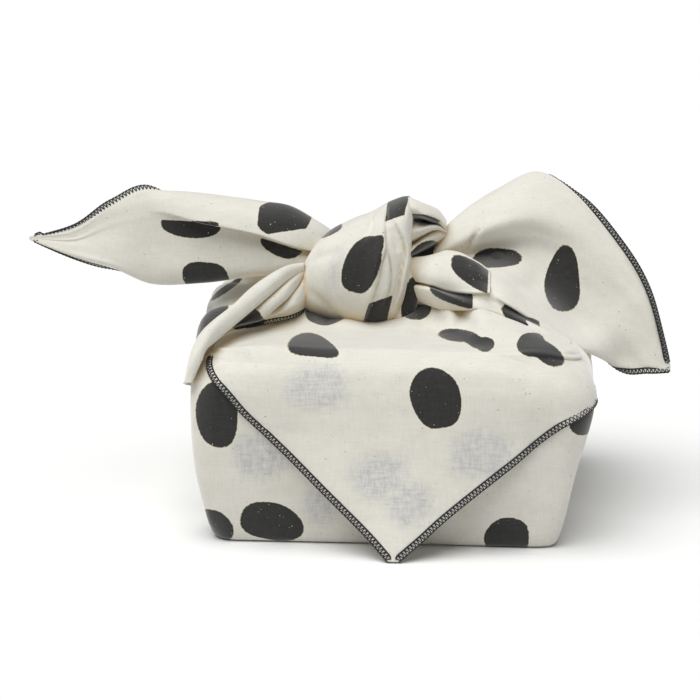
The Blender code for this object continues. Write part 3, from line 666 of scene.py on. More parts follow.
def tube_rings(path: Array, up: Array, radius: Array, sides: int) -> Array:
    """Return rings of points round a path.

    Args:
        path: the middle of the tube.
        up: a direction away from the path, one for all places or one for each.
        radius: the tube's radius at each place.
        sides: points in each ring.

    Returns:
        The rings, first axis along the path.
    """
    side = unit(np.cross(unit(np.gradient(path, axis=0)), up))
    above = np.cross(side, unit(np.gradient(path, axis=0)))
    angles = np.linspace(0.0, 2.0 * math.pi, sides, endpoint=False)[None, :, None]
    circle = side[:, None] * np.cos(angles) + above[:, None] * np.sin(angles)
    return path[:, None] + circle * np.reshape(radius, (-1, 1, 1))


def thicken(skin: Skin, thickness: float) -> Skin:
    """Return an open skin as a sheet with two faces and closed edges.

    Args:
        skin: the middle of the cloth.
        thickness: the distance between the two faces.

    Returns:
        The sheet, with the outer face's points first.
    """
    shift = skin.normals() * thickness / 2
    count = len(skin.points)
    ends = np.stack([skin.faces, np.roll(skin.faces, -1, axis=1)], 2).reshape(-1, 2)
    _, first, uses = np.unique(np.sort(ends, axis=1), axis=0, return_index=True, return_counts=True)
    rim = ends[first[uses == 1]]
    edge = np.stack([rim[:, 1], rim[:, 0], rim[:, 0] + count, rim[:, 1] + count], 1)
    points = np.concatenate([skin.points + shift, skin.points - shift])
    return Skin(points, np.concatenate([skin.faces, skin.faces[:, ::-1] + count, edge]))


def trimmed(skin: Skin, keep: Array) -> Skin:
    """Return the skin with only the faces that have a point to keep.

    Args:
        skin: the whole skin.
        keep: whether each of its points is kept.

    Returns:
        The smaller skin.
    """
    faces = skin.faces[keep[skin.faces].any(axis=1)]
    used = np.unique(faces)
    renumber = np.zeros(len(skin.points), int)
    renumber[used] = np.arange(len(used))
    return Skin(skin.points[used], renumber[faces])


def inside(points: Array, skin: Skin, depth: float) -> Array:
    """Return whether each point lies deeper than a depth under a skin.

    Args:
        points: the points.
        skin: a closed skin.
        depth: the depth.

    Returns:
        True or false for each point.
    """
    tree = skin.tree()
    hits = [tree.find_nearest(Vector(point)) for point in points.tolist()]
    places = np.array([hit[0] for hit in hits])
    facing = np.array([hit[1] for hit in hits])
    return ((points - places) * facing).sum(1) < -depth


# ---------------------------------------------------------------- marks on the cloth

@dataclass(frozen=True)
class Marker:
    """Works out creases and printed spots on a skin."""

    steps: int = 8
    near_side: float = 0.1
    layer: float = 2.5
    end_margin: float = 0.03
    taper_power: float = 0.6
    step_tail: float = 3.5
    step_slope: float = 0.28
    step_dip: float = 0.35
    sharp: float = 2.0
    line: float = 0.55
    full_shade: float = 2.0
    far: float = 6.0
    lying: float = 0.9
    outline_power: float = 2.25
    unevenness: tuple[tuple[int, float], ...] = ((2, 0.035), (3, 0.03), (5, 0.015))
    bend_middle: float = 0.4
    egg_reach: float = 1.4
    hidden_facing: float = -0.25
    flat_depth: float = 0.75
    folded_depth: float = 1.3

    def crease(self, skin: Skin, creases: tuple[Crease, ...]) -> None:
        """Press each crease into the skin. Along each narrow trough or step, a thin line is
        kept in skin.shade, where the material paints a dark line of shade.

        Args:
            skin: the skin, whose points are moved.
            creases: the creases.
        """
        skin.shade = np.zeros(len(skin.points))
        for item in creases:
            tree = skin.tree()
            normals = skin.normals()
            path = [tree.find_nearest(Vector(place)) for place in item.places]
            line = smooth_rows(np.array([hit[0] for hit in path]), self.steps)
            facing = smooth_rows(np.array([hit[1] for hit in path]), self.steps)
            gap = skin.points[:, None, :] - line[None, :, :]
            near = np.linalg.norm(gap, axis=2)
            closest = near.argmin(axis=1)
            rows = np.arange(len(skin.points))
            distance = near[rows, closest]
            away = gap[rows, closest]
            up = unit(facing)[closest]
            same = np.abs((normals * up).sum(1)) > self.near_side
            lift = np.abs((away * up).sum(1)) < item.width * self.layer
            share = closest / (len(line) - 1) * (1 - 2 * self.end_margin) + self.end_margin
            taper = np.clip(np.sin(np.pi * np.clip(share, 0, 1)), 0, 1) ** self.taper_power
            along = unit(np.gradient(line, axis=0))[closest]
            side = (np.cross(along, up) * away).sum(1)
            bell = np.exp(-(distance / item.width) ** 2)
            if item.form is Form.RIDGE:
                rise = bell
            elif item.form is Form.TROUGH:
                rise = -bell
            else:
                tail = np.exp(-(distance / (item.width * self.step_tail)) ** 2)
                slope = 1.0 + np.exp(-side / (item.width * self.step_slope))
                rise = tail / slope - self.step_dip * bell
            skin.points += up * (rise * item.height * taper * same * lift)[:, None]
            # A thin line along narrow troughs and steps, where the material paints a dark line of shade.
            if item.form is not Form.RIDGE and item.width < self.sharp:
                low = np.exp(-((distance / self.line) ** 2)) * taper * same * lift
                skin.shade = np.maximum(skin.shade, low * min(item.height / self.full_shade, 1.0))

    def distance(self, skin: Skin, spots: tuple[Spot, ...], seed: int) -> Array:
        """Return how far each point is from the nearest spot's edge.

        Args:
            skin: the skin that the spots are printed on.
            spots: the spots.
            seed: the seed of the spots' uneven edges.

        Returns:
            The distance in millimetres, below zero inside a spot.
        """
        nearest = np.full(len(skin.points), self.far)
        tree, normals = skin.tree(), skin.normals()
        random = np.random.default_rng(seed)
        for spot in spots:
            place, normal, _, _ = tree.find_nearest(Vector(spot.place))
            out = np.array(normal if spot.facing is Facing.CLOTH else spot.facing.value)
            upright = (0.0, 0.0, 1.0) if abs(out[2]) < self.lying else (0.0, 1.0, 0.0)
            across = unit(np.cross(upright, out))
            above = np.cross(out, across)
            away = skin.points - np.array(place)
            angle = math.radians(spot.turn)
            flat_a, flat_b = away @ across, away @ above
            a = (flat_a * math.cos(angle) + flat_b * math.sin(angle)) / (spot.width / 2)
            b = (flat_b * math.cos(angle) - flat_a * math.sin(angle)) / (spot.height / 2)
            widening = 1.0 + spot.egg * np.clip(b, -self.egg_reach, self.egg_reach)
            a = (a - spot.bend * (b ** 2 - self.bend_middle)) / widening
            phases = random.uniform(0, 2 * np.pi, len(self.unevenness))
            turn = np.arctan2(b, a)
            wobble = sum(size * np.cos(waves * turn + phase)
                         for (waves, size), phase in zip(self.unevenness, phases))
            power = self.outline_power
            reach = (np.abs(a) ** power + np.abs(b) ** power) ** (1 / power)
            value = (reach / (1.0 + wobble) - 1.0) * min(spot.width, spot.height) / 2
            for way, gap in spot.cuts:
                beyond = flat_a * math.cos(math.radians(way)) + flat_b * math.sin(math.radians(way))
                value = np.maximum(value, beyond - gap)
            deepest = self.flat_depth if spot.facing is Facing.CLOTH else self.folded_depth
            deep = np.abs(away @ out) > deepest * max(spot.width, spot.height)
            hidden = (normals @ out < self.hidden_facing) | deep
            nearest = np.where(hidden, nearest, np.minimum(nearest, value))
        return np.clip(nearest, -self.far, self.far)


MARKER = Marker()


def swell(points: Array, scale: float, height: float, seed: int, waves: int = 7,
          spread: tuple[float, float] = (0.6, 1.7), calm: float = 4.0) -> Array:
    """Return a soft uneven rise for each point, made of a few slow waves.

    Args:
        points: the points.
        scale: the length of a wave.
        height: the most that it rises or falls.
        seed: the seed of the waves.
        waves: how many waves are added up.
        spread: the smallest and largest share of the scale at which they repeat.
        calm: how far the sum is scaled down to keep to the height.

    Returns:
        The rise at each point.
    """
    random = np.random.default_rng(seed)
    total = np.zeros(points.shape[:-1])
    for _ in range(waves):
        direction = unit(random.normal(size=3)) * random.uniform(*spread)
        total += np.sin(points @ direction * 2 * np.pi / scale + random.uniform(0, 2 * np.pi))
    return total * height / calm


# ---------------------------------------------------------------- materials

def linear(colour: str) -> tuple[float, float, float, float]:
    """Return an sRGB hex colour as linear red, green, blue and alpha.

    Args:
        colour: the colour, such as "#D5D3C9".

    Returns:
        The four linear values.
    """
    channels = [int(colour[start:start + 2], 16) / 255 for start in (1, 3, 5)]
    turned = [c / 12.92 if c <= 0.04045 else ((c + 0.055) / 1.055) ** 2.4 for c in channels]
    return (*turned, 1.0)


def add_node(tree: bpy.types.NodeTree, kind: str, settings: dict | None = None,
             links: dict | None = None, output: int | str = 0) -> bpy.types.NodeSocket:
    """Add a node with its settings and its links.

    Args:
        tree: the material's node tree.
        kind: the node's type, after the word that starts them all.
        settings: property names, or input numbers and names, with their values.
        links: input numbers or names with the sockets that feed them.
        output: the output that the next node needs.

    Returns:
        That output.
    """
    node = tree.nodes.new("ShaderNode" + kind)
    for key, value in (settings or {}).items():
        if isinstance(key, str) and hasattr(node, key):
            setattr(node, key, value)
        else:
            node.inputs[key].default_value = value
    for key, socket in (links or {}).items():
        tree.links.new(socket, node.inputs[key])
    return node.outputs[output]


def new_finish(name: str, values: dict) -> tuple[bpy.types.Material, bpy.types.Node]:
    """Return a new material and its shader, which has the plain values set.

    Args:
        name: the material's name.
        values: the shader's inputs by name.

    Returns:
        The material and its shader.
    """
    material = bpy.data.materials.new(name)
    material.use_nodes = True
    shader = material.node_tree.nodes["Principled BSDF"]
    for key, value in values.items():
        shader.inputs[key].default_value = value
    return material, shader


@dataclass(frozen=True)
class PrintedCotton:
    """Unbleached plain-weave cotton, screen printed with black pigment.

    The eye sees a cream cloth that is never quite even: fine crossed threads, thicker slubs,
    brown specks of seed coat, a faint print of the layer beneath, and matt black spots with a
    thin pale rim where the pigment's binder has soaked out. An ochre glow is painted into deep
    folds for light bounced and passed through the cloth there, and a thin dark ochre line of
    shade is painted along narrow creases.
    """

    name: str = "printed_plain_weave_cotton"
    cloth: str = "#D5D3C9"
    cloth_dull: str = "#CBC8BE"
    # fold is a painted ochre glow, laid on deep folds in place of light bounced inside them.
    fold: str = "#E6CE9E"
    # crease is a dark line of shade painted along narrow creases.
    crease: str = "#A08A5E"
    pigment: str = "#161514"
    pigment_worn: str = "#21201E"
    rim: str = "#DDD3B4"
    beneath: str = "#9A9DA4"
    speck: str = "#6E5236"
    roughness: float = 0.92
    specular: float = 0.4
    sheen: float = 0.6
    sheen_roughness: float = 0.5
    bump: float = 0.35
    bump_height: float = 0.25
    thread_height: float = 0.5
    # Threads lie along and across the cloth. Real ones are 0.45 mm apart, too fine for a view of
    # the whole wrap, so they are drawn at twice that. The other sizes are those of the real marks.
    grain: tuple = (
        # name, size in mm, stretch along each axis, detail
        ("threads along", 0.9, (0.12, 1.0, 1.0), 1.0),
        ("threads across", 0.9, (1.0, 1.0, 0.12), 1.0),
        ("slubs", 6.0, (0.45, 1.0, 0.8), 3.0),
        ("patches", 3.4, (1.0, 1.0, 1.0), 2.0),
        ("seed coat", 1.0, (1.0, 1.0, 1.0), 0.0),
        ("pinholes", 0.8, (1.0, 1.0, 1.0), 0.0),
        ("bleeding", 1.3, (1.0, 1.0, 1.0), 2.0),
    )
    mesh_values: tuple[str, ...] = ("ink", "ghost", "depth", "crease")
    # Each step joins two values, or moves a value from one range to another.
    steps: tuple = (
        ("weave", "threads along", ("ADD", "threads across")),
        ("dull share", "slubs", (0.35, 0.75, 0.0, 0.6)),
        ("thread share", "weave", (0.7, 1.3, 0.0, 0.16)),
        ("ghost strength", "ghost", (2.6, -4.0, 0.0, 0.5)),
        ("thread streaks", "weave", (0.8, 1.2, 0.55, 1.2)),
        ("patch streaks", "patches", (0.35, 0.65, 0.6, 1.1)),
        ("streaks", "thread streaks", ("MULTIPLY", "patch streaks")),
        ("ghost share", "ghost strength", ("MULTIPLY", "streaks")),
        ("speck share", "seed coat", (0.83, 0.86, 0.0, 0.7)),
        # The fold depth sets how much painted ochre glow a point gets.
        ("fold share", "depth", (0.45, 1.0, 0.0, 0.75)),
        # The crease line sets where the painted line of shade lies.
        ("crease share", "crease", (0.1, 1.0, 0.0, 0.75)),
        ("nibble", "bleeding", (0.2, 0.8, -0.22, 0.22)),
        ("edge", "ink", ("ADD", "nibble")),
        ("rim share", "edge", (0.6, 0.2, 0.0, 0.45)),
        ("solid ink", "edge", (0.16, -0.16, 0.0, 1.0)),
        ("ink left", "pinholes", (0.83, 0.86, 1.0, 0.3)),
        ("ink share", "solid ink", ("MULTIPLY", "ink left")),
        ("worn share", "weave", (0.75, 1.25, 0.0, 1.0)),
    )

    def values(self, tree: bpy.types.NodeTree) -> dict[str, bpy.types.NodeSocket]:
        """Return every pattern, mesh value and share by its name.

        Args:
            tree: the material's node tree.

        Returns:
            The socket that gives each.
        """
        place = add_node(tree, "TexCoord", output="Object")
        found = {}
        for name, size, stretch, detail in self.grain:
            scale = [1.0 / MM / size * share for share in stretch]
            spread = add_node(tree, "Mapping", {"Scale": scale}, {"Vector": place})
            found[name] = add_node(tree, "TexNoise", {"Scale": 1.0, "Detail": detail},
                                   {"Vector": spread}, "Fac")
        for name in self.mesh_values:
            found[name] = add_node(tree, "Attribute", {"attribute_name": name}, output="Fac")
        for name, source, rule in self.steps:
            if isinstance(rule[0], str):
                found[name] = add_node(tree, "Math", {"operation": rule[0]},
                                       {0: found[source], 1: found[rule[1]]})
            else:
                found[name] = add_node(tree, "MapRange", dict(enumerate(rule, 1)), {0: found[source]})
        return found

    def build(self) -> bpy.types.Material:
        """Return the material."""
        material, shader = new_finish(self.name, {
            "Roughness": self.roughness, "Specular IOR Level": self.specular,
            "Sheen Weight": self.sheen, "Sheen Roughness": self.sheen_roughness,
        })
        tree = material.node_tree
        found = self.values(tree)
        base = add_node(tree, "Mix", {"data_type": "RGBA", 6: linear(self.cloth),
                                      7: linear(self.cloth_dull)}, {0: found["dull share"]}, 2)
        layers = (
            ("thread share", self.cloth_dull, "MULTIPLY"),
            ("ghost share", self.beneath, "MIX"),
            ("speck share", self.speck, "MIX"),
            # A painted ochre glow in deep folds.
            ("fold share", self.fold, "MIX"),
            # A painted line of shade along narrow creases.
            ("crease share", self.crease, "MIX"),
            ("rim share", self.rim, "MIX"),
        )
        for share, colour, blend in layers:
            base = add_node(tree, "Mix", {"data_type": "RGBA", "blend_type": blend, 7: linear(colour)},
                            {0: found[share], 6: base}, 2)
        worn = add_node(tree, "Mix", {"data_type": "RGBA", 6: linear(self.pigment),
                                      7: linear(self.pigment_worn)}, {0: found["worn share"]}, 2)
        base = add_node(tree, "Mix", {"data_type": "RGBA"}, {0: found["ink share"], 6: base, 7: worn}, 2)
        tree.links.new(base, shader.inputs["Base Color"])
        lower = add_node(tree, "Math", {"operation": "MULTIPLY", 1: self.thread_height}, {0: found["weave"]})
        height = add_node(tree, "Math", {"operation": "ADD"}, {0: lower, 1: found["slubs"]})
        bump = add_node(tree, "Bump", {"Strength": self.bump, "Distance": self.bump_height * MM},
                        {"Height": height})
        tree.links.new(bump, shader.inputs["Normal"])
        return material


@dataclass(frozen=True)
class OverlockThread:
    """Spun polyester thread, dyed navy-black.

    The eye sees soft dark cord with a slight fuzz and a faint twist, a little lighter on top.
    """

    name: str = "spun_polyester_thread"
    shade: str = "#121417"
    light: str = "#22242A"
    roughness: float = 0.78
    sheen: float = 0.05
    twist: float = 0.8
    bump: float = 0.4
    bump_height: float = 0.1

    def build(self) -> bpy.types.Material:
        """Return the material."""
        material, shader = new_finish(self.name, {"Roughness": self.roughness, "Sheen Weight": self.sheen})
        tree = material.node_tree
        place = add_node(tree, "TexCoord", output="Object")
        grain = add_node(tree, "TexNoise", {"Scale": 1.0 / (self.twist * MM), "Detail": 2.0},
                         {"Vector": place}, "Fac")
        colour = add_node(tree, "Mix", {"data_type": "RGBA", 6: linear(self.shade), 7: linear(self.light)},
                          {0: grain}, 2)
        bump = add_node(tree, "Bump", {"Strength": self.bump, "Distance": self.bump_height * MM},
                        {"Height": grain})
        tree.links.new(colour, shader.inputs["Base Color"])
        tree.links.new(bump, shader.inputs["Normal"])
        return material


@dataclass(frozen=True)
class StudioPaper:
    """Matt white background paper, which the eye sees as plain light."""

    name: str = "matt_white_paper"
    shade: str = "#E7E7E6"
    roughness: float = 0.95
    specular: float = 0.1

    def build(self) -> bpy.types.Material:
        """Return the material."""
        return new_finish(self.name, {
            "Base Color": linear(self.shade), "Roughness": self.roughness,
            "Specular IOR Level": self.specular,
        })[0]


# ---------------------------------------------------------------- pieces

def place_mesh(name: str, skin: Skin, material: bpy.types.Material) -> bpy.types.Object:
    """Turn a skin into an object of the scene.

    Args:
        name: the piece's name.
        skin: its points, in millimetres, and faces.
        material: its finish.

    Returns:
        The object, which rides on the body and stands for the cloth's solid.
    """
    mesh = bpy.data.meshes.new(name)
    mesh.from_pydata((skin.points * MM).tolist(), [], skin.faces.tolist())
    mesh.shade_smooth()
    mesh.materials.append(material)
    item = bpy.data.objects.new(name, mesh)
    bpy.context.scene.collection.objects.link(item)
    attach(item, BODY)
    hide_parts(NODE)
    return item


def store(mesh: bpy.types.Mesh, name: str, values: Array) -> None:
    """Keep one number for each point of a mesh under a name that the material reads.

    Args:
        mesh: the mesh.
        name: the name.
        values: the numbers.
    """
    layer = mesh.attributes.new(name, "FLOAT", "POINT")
    layer.data.foreach_set("value", values.astype(np.float32))


@dataclass
class ClothPiece:
    """A piece of the cloth: its skin, its spots and creases, and how it lies."""

    name: str
    flat: tuple[float, float]
    area: float
    held: str
    seed: int
    skin: Skin | None = None
    wave: float = 40.0
    rise: float = 0.0

    def shape(self) -> Skin:
        """Return the piece's skin, before creases."""
        raise NotImplementedError

    def rumple(self, skin: Skin, fade: Array | float = 1.0) -> None:
        """Make a skin softly uneven, in the piece's own waves.

        Args:
            skin: the skin, whose points are moved.
            fade: how much of the waves each point gets.
        """
        lift = swell(skin.points, self.wave, self.rise, self.seed) * fade
        skin.points += skin.normals() * lift[:, None]

    def make(self) -> None:
        """Build the skin, press in its creases and print its spots."""
        self.skin = self.shape()
        MARKER.crease(self.skin, CREASES.get(self.name, ()))
        self.skin.ink = MARKER.distance(self.skin, SPOTS.get(self.name, ()), self.seed)
        self.skin.ghost = MARKER.distance(self.skin, GHOSTS.get(self.name, ()), self.seed + 1)

    def place(self, material: bpy.types.Material, depth: Array) -> bpy.types.Object:
        """Put the piece in the scene.

        Args:
            material: the cloth's finish.
            depth: how deep in a fold each point lies, from 0 to 1, which sets a painted ochre glow.

        Returns:
            The object.
        """
        item = place_mesh(self.name, self.skin, material)
        # The crease value is the line where shade is painted along narrow creases.
        values = {"ink": self.skin.ink, "ghost": self.skin.ghost, "depth": depth, "crease": self.skin.shade}
        for label, numbers in values.items():
            store(item.data, label, numbers)
        LOG.info("%s: %d faces, %.4f square metres of skin", self.name, len(self.skin.faces),
                 self.skin.area() * MM ** 2)
        return item


@dataclass
class ParcelCloth(ClothPiece):
    """The layer of cloth that lies round the parcel: its base, its four sides and its top."""

    name: str = "parcel_cloth"
    flat: tuple[float, float] = (0.36, 0.36)
    area: float = 0.118
    held: str = "folded"
    seed: int = 11
    wave: float = 62.0
    rise: float = 0.7
    flat_foot: float = 14.0
    height_steps: int = 6
    corner_steps: int = 14
    side_steps: int = 74
    base_rings: int = 5
    base_hole: float = 0.04
    pleat_steps: int = 10
    pleat_reach: float = 4.0
    thickness: float = 0.8

    def ring(self, height: float, left: float, right: float, front: float, back: float,
             radius: float) -> Array:
        """Return a level ring of points round a rectangle with round corners.

        Args:
            height: the ring's height.
            left: how far it reaches to the left.
            right: how far it reaches to the right.
            front: how far it reaches to the front.
            back: how far it reaches to the back.
            radius: the corners' radius.

        Returns:
            The points.
        """
        corners = (
            (right - radius, -front + radius, -90.0),
            (right - radius, back - radius, 0.0),
            (-left + radius, back - radius, 90.0),
            (-left + radius, -front + radius, 180.0),
        )
        arcs = []
        for across, deep, start in corners:
            angles = np.radians(start + np.linspace(0.0, 90.0, self.corner_steps + 1))
            arcs.append(np.stack([across + radius * np.cos(angles), deep + radius * np.sin(angles)], 1))
        ring = []
        for arc, following in zip(arcs, arcs[1:] + arcs[:1]):
            shares = np.linspace(0.0, 1.0, self.side_steps + 1)[1:-1, None]
            ring += [arc, arc[-1] + (following[0] - arc[-1]) * shares]
        flat = np.concatenate(ring)
        return np.column_stack([flat, np.full(len(flat), height)])

    def shape(self) -> Skin:
        """Return the skin: rings up the sides, closed below and open under the knot."""
        rows = np.array([row[1:] for row in PARCEL_SECTIONS])
        side = smooth_rows(rows[1:], self.height_steps)
        rings = [self.ring(*row) for row in np.concatenate([rows[:1], side])]
        base = rings[0]
        middle = base.mean(axis=0)
        shares = np.linspace(self.base_hole, 1.0, self.base_rings)[:-1]
        inner = [middle + (base - middle) * share for share in shares]
        grid = np.stack(inner + rings)
        count = grid.shape[1]
        skin = Skin(grid.reshape(-1, 3).copy(), grid_faces(len(grid), count, closed=True))
        normals = skin.normals()
        self.rumple(skin, np.clip(skin.points[:, 2] / self.flat_foot, 0.0, 1.0))
        for line in CORNER_ROLLS.values():
            self.raise_pleat(skin, normals, smooth_rows(line, self.pleat_steps))
        sheet = thicken(skin, self.thickness)
        sheet.points[:, 2] = np.maximum(sheet.points[:, 2], 0.0)
        return sheet

    def raise_pleat(self, skin: Skin, normals: Array, line: Array) -> None:
        """Lift the skin over a pleat that follows a line with a radius.

        Args:
            skin: the skin, whose points are moved.
            normals: the way that each point is lifted.
            line: places along the pleat, each with its radius.
        """
        gap = np.linalg.norm(skin.points[:, None] - line[None, :, :3], axis=2)
        closest = gap.argmin(axis=1)
        near = gap[np.arange(len(gap)), closest]
        bell = np.exp(-(near / self.pleat_reach) ** 2)
        skin.points += normals * (bell * line[closest, 3])[:, None]


@dataclass
class HangingCorner(ClothPiece):
    """The front corner of the cloth, which hangs over the front down to the ground."""

    name: str = "hanging_corner"
    flat: tuple[float, float] = (0.20, 0.18)
    area: float = 0.0184
    held: str = "hung"
    seed: int = 23
    wave: float = 58.0
    rise: float = 0.5
    flat_tip: float = 30.0
    row_steps: int = 12
    columns: int = 150
    thickness: float = 0.9
    skin_gap: float = 1.4
    side_lean: float = 0.04
    hem_tuck: float = 2.6
    tuck_reach: float = 8.0
    wrap_start: float = 0.75
    shoulder_height: float = 89.5
    shoulder_drop: float = 0.35
    front_rows: int = 0
    grid: Array | None = None

    def parcel_size(self, height: float) -> Array:
        """Return the parcel's left, right, front, back and corner sizes at a height.

        Args:
            height: the height.

        Returns:
            The five sizes.
        """
        rows = smooth_rows(np.array([row[1:] for row in PARCEL_SECTIONS[1:]]), 4)
        return np.array([np.interp(height, rows[:, 0], rows[:, axis]) for axis in range(1, 6)])

    def round_corner(self, run: float, straight: float, radius: float) -> tuple[float, float, float]:
        """Return the place across, the fall back and the turn at a length round a front corner.

        Args:
            run: the length along the cloth from the middle.
            straight: the flat length before the corner.
            radius: the radius of the corner.

        Returns:
            The two distances, and the turn in radians.
        """
        turn = min(max(run - straight, 0.0) / radius, math.pi / 2)
        beyond = max(run - straight - radius * math.pi / 2, 0.0)
        across = min(run, straight) + radius * math.sin(turn)
        return across, radius * (1.0 - math.cos(turn)) + beyond, turn

    def point(self, row: Array, sizes: Array, share: float) -> tuple[float, float, float]:
        """Return the outer point of a row, from its left edge, 0, to its right edge, 1.

        Args:
            row: the depth of the middle, the height, and the left and right edges.
            sizes: the parcel's sizes at that height.
            share: where the point is between the edges.

        Returns:
            The place.
        """
        deep, height, left, right = row
        run = left + (right - left) * share
        size_left, size_right, front, _, radius = sizes
        straight = (size_left if run < 0 else size_right) - radius
        stand_off = -front - deep
        if stand_off < 0.0:
            across, recess, _ = self.round_corner(abs(run), straight + stand_off, radius)
            drop = min(recess, radius) * self.shoulder_drop
            return math.copysign(across, run), deep + recess, height - drop
        across, recess, turn = self.round_corner(abs(run), straight, radius)
        past = max(abs(run) / straight - self.wrap_start, 0.0) / (1.0 - self.wrap_start)
        gap = stand_off + (min(self.skin_gap, stand_off) - stand_off) * min(past, 1.0) ** 2
        edge = abs(2.0 * share - 1.0)
        gap -= min(max(gap - self.skin_gap, 0.0), (right - left) * self.side_lean) * edge ** 2
        tuck = self.hem_tuck * min(max(recess - radius, 0.0) / self.tuck_reach, 1.0)
        side = across + (gap - tuck) * math.sin(turn)
        return math.copysign(side, run), recess - front - gap * math.cos(turn), height

    def shape(self) -> Skin:
        """Return the skin of the corner."""
        shares = np.linspace(0.0, 1.0, self.columns + 1)
        rows = smooth_rows(np.array([row[1:] for row in FLAP_ROWS]), self.row_steps)
        sizes = [self.parcel_size(min(row[1], self.shoulder_height)) for row in rows]
        front = np.array([[self.point(row, size, share) for share in shares]
                          for row, size in zip(rows, sizes)])[:-self.row_steps]
        self.front_rows = len(front)
        places = np.array([column[1:] for column in CORNER_TOP], float)
        steps = np.interp(shares, [column[0] for column in CORNER_TOP], np.arange(len(CORNER_TOP)))
        top = spline(places, steps).transpose(1, 0, 2)
        ahead = smooth_rows(np.concatenate([front[[-1 - self.row_steps, -1]], top]), self.row_steps)
        grid = np.concatenate([front, ahead[self.row_steps + 1:]])
        middle = Skin(grid.reshape(-1, 3), grid_faces(*grid.shape[:2]))
        self.rumple(middle, np.clip(middle.points[:, 2] / self.flat_tip, 0.0, 1.0))
        self.grid = middle.points.reshape(grid.shape)
        return thicken(middle, self.thickness)


@dataclass
class KnotAndGathers(ClothPiece):
    """The two gathers that climb to the knot and the knot itself, as one run of folded cloth."""

    name: str = "knot_and_gathers"
    flat: tuple[float, float] = (0.30, 0.30)
    area: float = 0.05
    held: str = "gathered"
    seed: int = 37
    gather_steps: int = 10
    gather_sag: float = 2.5
    heart_share: float = 0.4
    left_heart: tuple[float, float, float] = (-34.0, 0.0, 46.0)
    right_heart: tuple[float, float, float] = (30.0, 0.0, 46.0)
    wrap_steps: int = 6
    wrap_count: int = 72
    inset: float = 1.6
    roll_steps: int = 8
    roll_sides: int = 20
    voxel: float = 1.1
    hidden_depth: float = 2.0
    parcel: Skin | None = None

    def gather(self, folds: tuple, heart: tuple[float, float, float]) -> Skin:
        """Return one gather, filled to its heart.

        Args:
            folds: the places of its folds, each with a name.
            heart: the place that the inside shrinks to.

        Returns:
            Its closed skin.
        """
        lines = []
        for _, foot, shoulder, knot in folds:
            middle = (np.array(shoulder, float) + np.array(knot, float)) / 2
            middle[2] -= self.gather_sag
            lines.append(smooth_rows(np.array([foot, shoulder, middle, knot], float), self.gather_steps))
        stations = smooth_rows(np.array(lines), self.gather_steps).transpose(1, 0, 2)
        core = np.array(heart)
        hearts = core + (stations - core) * self.heart_share
        return self.closed(np.concatenate([stations, hearts[:, ::-1]], axis=1))

    def wrap(self, sections: tuple, inset: float = 0.0) -> Skin:
        """Return one wrap of the knot as a closed barrel.

        Args:
            sections: the wrap's sections from left to right.
            inset: how far to stay inside them.

        Returns:
            Its closed skin.
        """
        return self.closed(barrel(sections, self.wrap_steps, self.wrap_count, inset))

    def roll(self, line: tuple) -> Skin:
        """Return one rolled fold as a round bar with closed ends.

        Args:
            line: places along the fold, each with its radius.

        Returns:
            Its closed skin.
        """
        rows = smooth_rows(np.array(line), self.roll_steps)
        return self.closed(tube_rings(rows[:, :3], (0.0, 0.0, 1.0), rows[:, 3], self.roll_sides))

    def closed(self, rings: Array) -> Skin:
        """Return a skin over rings of points, closed at both ends.

        Args:
            rings: the rings, first axis from end to end.

        Returns:
            The skin.
        """
        rows, columns = rings.shape[:2]
        ends = np.concatenate([rings.reshape(-1, 3), rings[:1].mean(axis=1), rings[-1:].mean(axis=1)])
        faces = [grid_faces(rows, columns, closed=True)]
        ahead = np.roll(np.arange(columns), -1)
        last = (rows - 1) * columns
        caps = ((ahead, np.arange(columns)), (np.arange(columns) + last, ahead + last))
        for number, (first, second) in enumerate(caps):
            middle = np.full(columns, rows * columns + number)
            faces.append(np.stack([first, second, middle, middle], 1))
        return Skin(ends, np.concatenate(faces))

    def shape(self) -> Skin:
        """Return the skin: all the forms melted into one, softened, and open below."""
        forms = [
            self.gather(LEFT_GATHER_FOLDS, self.left_heart),
            self.gather(RIGHT_GATHER_FOLDS, self.right_heart),
            self.wrap(FRONT_WRAP_SECTIONS, self.inset),
            self.wrap(REAR_WRAP_SECTIONS),
        ]
        forms += [self.roll(line) for line in FOLD_ROLLS.values()]
        skin = melt(forms, self.voxel)
        skin.soften(2)
        return trimmed(skin, ~inside(skin.points, self.parcel, self.hidden_depth))


def barrel(sections: tuple, steps: int, count: int, inset: float = 0.0,
           lean: float = -0.05, squareness: float = 2.3) -> Array:
    """Return rings of points round one wrap of the knot.

    Args:
        sections: the wrap's sections from left to right.
        steps: rings for each section.
        count: points in each ring.
        inset: how far to stay inside the sections.
        lean: how far the wrap leans to the right for each millimetre of height.
        squareness: the power of the rings' outline, 2 for an ellipse.

    Returns:
        The rings.
    """
    angles = np.linspace(0.0, 2.0 * math.pi, count, endpoint=False)
    cosine, sine = np.cos(angles), np.sin(angles)
    power = 2.0 / squareness
    rings = []
    for place, bottom, top, front, back in smooth_rows(np.array([row[1:] for row in sections]), steps):
        deep = (front + back) / 2 + ((back - front) / 2 - inset) * np.sign(cosine) * np.abs(cosine) ** power
        rise = ((top - bottom) / 2 - inset) * np.sign(sine) * np.abs(sine) ** power
        rings.append(np.stack([place - lean * rise, deep, (bottom + top) / 2 + rise], 1))
    return np.array(rings)


